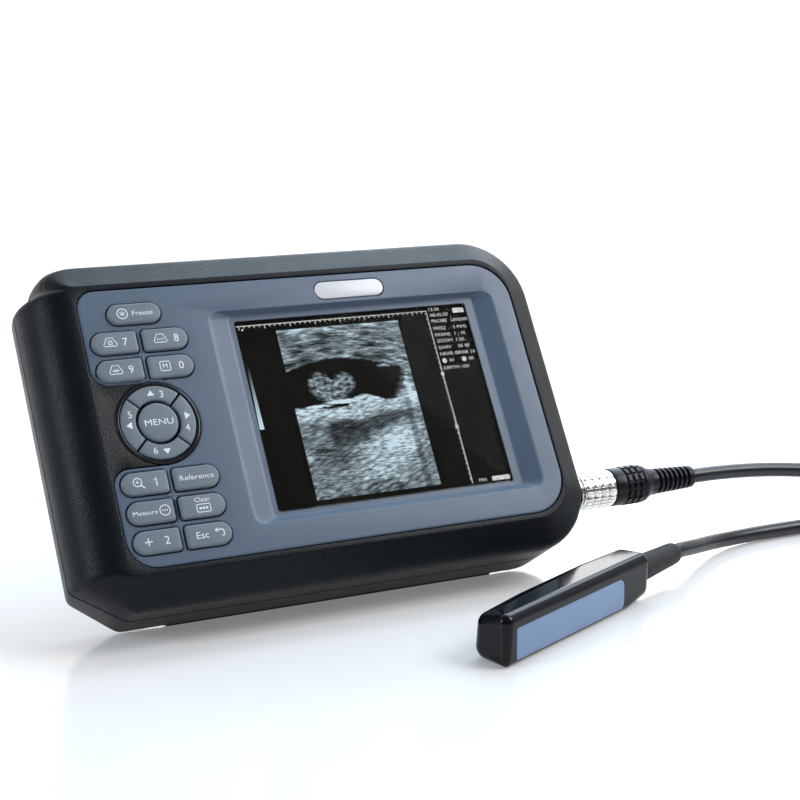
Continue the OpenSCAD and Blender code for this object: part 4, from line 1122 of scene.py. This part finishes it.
housing = carved(hull(BALLS), [
    (CUT, block((10, 105), (-7, 4), (3, 15))),
    (CUT, loft([frontways(lens_outline(-0.1), y) for y in (-20, -6.6)])),
    (CUT, probe_hole())])
probe_shell = piece("probe_housing", *housing, "probe", "probe_gloss", PROBE, [GLOSS],
                    ["probe_front_shell", "probe_back_shell"], smooth=28)
probe_shell.modifiers.new("weigh", "WEIGHTED_NORMAL").keep_sharp = True
lens_edge = [(0, -6.8)] + rounded(0, -8.75, 0, -9.2, 0.6, -9.2, 5)
piece("lens_plate", *loft([frontways(lens_outline(d), y) for d, y in lens_edge]), "probe", "lens_blue", PROBE,
      [LENS], ["probe_lens"], smooth=40)
sleeve = plain((PROBE_L - 5.5, 4.8), (PROBE_L + 0.1, 4.8), (PROBE_L + 0.1, 5.3), (PROBE_L + 0.5, 5.75),
               (PROBE_L + 1.2, 5.85), (PROBE_L + 8, 5.75), (PROBE_L + 16, 5.5), (PROBE_L + 24, 5.2),
               (PROBE_L + 31.5, 5.0), (PROBE_L + 33.3, 4.85), (PROBE_L + 34.2, 4.45), (PROBE_L + 34.5, 3.9))
piece("probe_sleeve", *loft(turned(sleeve, 12, 0.11, (0, BOOT_Z))), "probe", "cable_black", PROBE, [SOFT],
      ["probe_boot"], smooth=45)

cord.data.materials.append(CABLE)
tie.data.materials.append(SOFT)

# ---- stage and light ----
FLOOR_HALF, FLOOR_DOWN = 9, 0.0002
corners = [(x * FLOOR_HALF, y * FLOOR_HALF, 0) for x, y in ((-1, -1), (1, -1), (1, 1), (-1, 1))]
floor = in_scene("floor", mesh_of("floor", corners, [(0, 1, 2, 3)]))
floor.location.z = -FLOOR_DOWN
floor.data.materials.append(material(
    "floor", Base_Color=(0.79, 0.775, 0.76, 1), Roughness=0.14, Specular_IOR_Level=0.45,
    Emission_Color=(1, 1, 1, 1), Emission_Strength=0.18)[0])

SCENE.world = bpy.data.worlds.new("world")
SCENE.world.use_nodes = True
sky_tree = SCENE.world.node_tree
# a studio: bright walls behind the object, a dim one in front of it
way = sky_tree.nodes.new("ShaderNodeVectorMath")
way.operation = "DOT_PRODUCT"
way.inputs[1].default_value = (0.35, 0.94, 0)
sky_tree.links.new(coordinates(sky_tree, "Generated"), way.inputs[0])
behind = Field(sky_tree, way.outputs["Value"]).math("MULTIPLY_ADD", 0.5, 0.5)
WALLS = [(0.0, (0.10, 0.11, 0.125)), (0.4, (0.2, 0.215, 0.24)), (0.62, (0.58, 0.6, 0.63)),
         (0.85, (1.1, 1.1, 1.1))]
sky_tree.links.new(ramp(sky_tree, behind.out, WALLS), sky_tree.nodes["Background"].inputs["Color"])
MIDDLE = Vector((0.0, -0.01, 0.07))


def softbox(name, way, reach, size, radiance, size_y=None, colour=(0.98, 0.99, 1)):
    """An even bright rectangle, seen from the object's middle in the direction way."""
    data = bpy.data.lights.new(name, "AREA")
    data.shape, data.size, data.size_y = "RECTANGLE", size, size_y or size
    area = size * (size_y or size)
    data.energy, data.color = pi * area * radiance, colour
    o = in_scene(name, data)
    o.location = MIDDLE + Vector(way).normalized() * reach
    o.rotation_euler = (MIDDLE - o.location).to_track_quat("-Z", "Y").to_euler()


softbox("top_box", (0.5, 0.42, 0.80), 1.5, 1.15, 3.7, colour=(0.62, 0.82, 1.0))
softbox("right_box", (0.68, -0.38, 0.70), 1.6, 0.8, 7.5)
softbox("left_strip", (-0.91, -0.05, 0.42), 1.6, 0.2, 16, 0.9, (0.75, 0.88, 1))
softbox("back_box", (0.51, 0.80, 0.32), 1.8, 1.0, 3.4, 0.5)

# the point where the cord's last 90 mm begin, on a line from its end: the line from start to end passes the
# coil by
BEND_DIR = Vector((-1, -1.2, -1)).normalized()
CORD_END = Vector(TAIL[-1]) * MM
bend_from = Vector((0.238, -0.0138, 0.0035))
bend_from = CORD_END - BEND_DIR * (CORD_END - bend_from).dot(BEND_DIR)
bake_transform(cord)
[tuple(p * MM) for p in route]
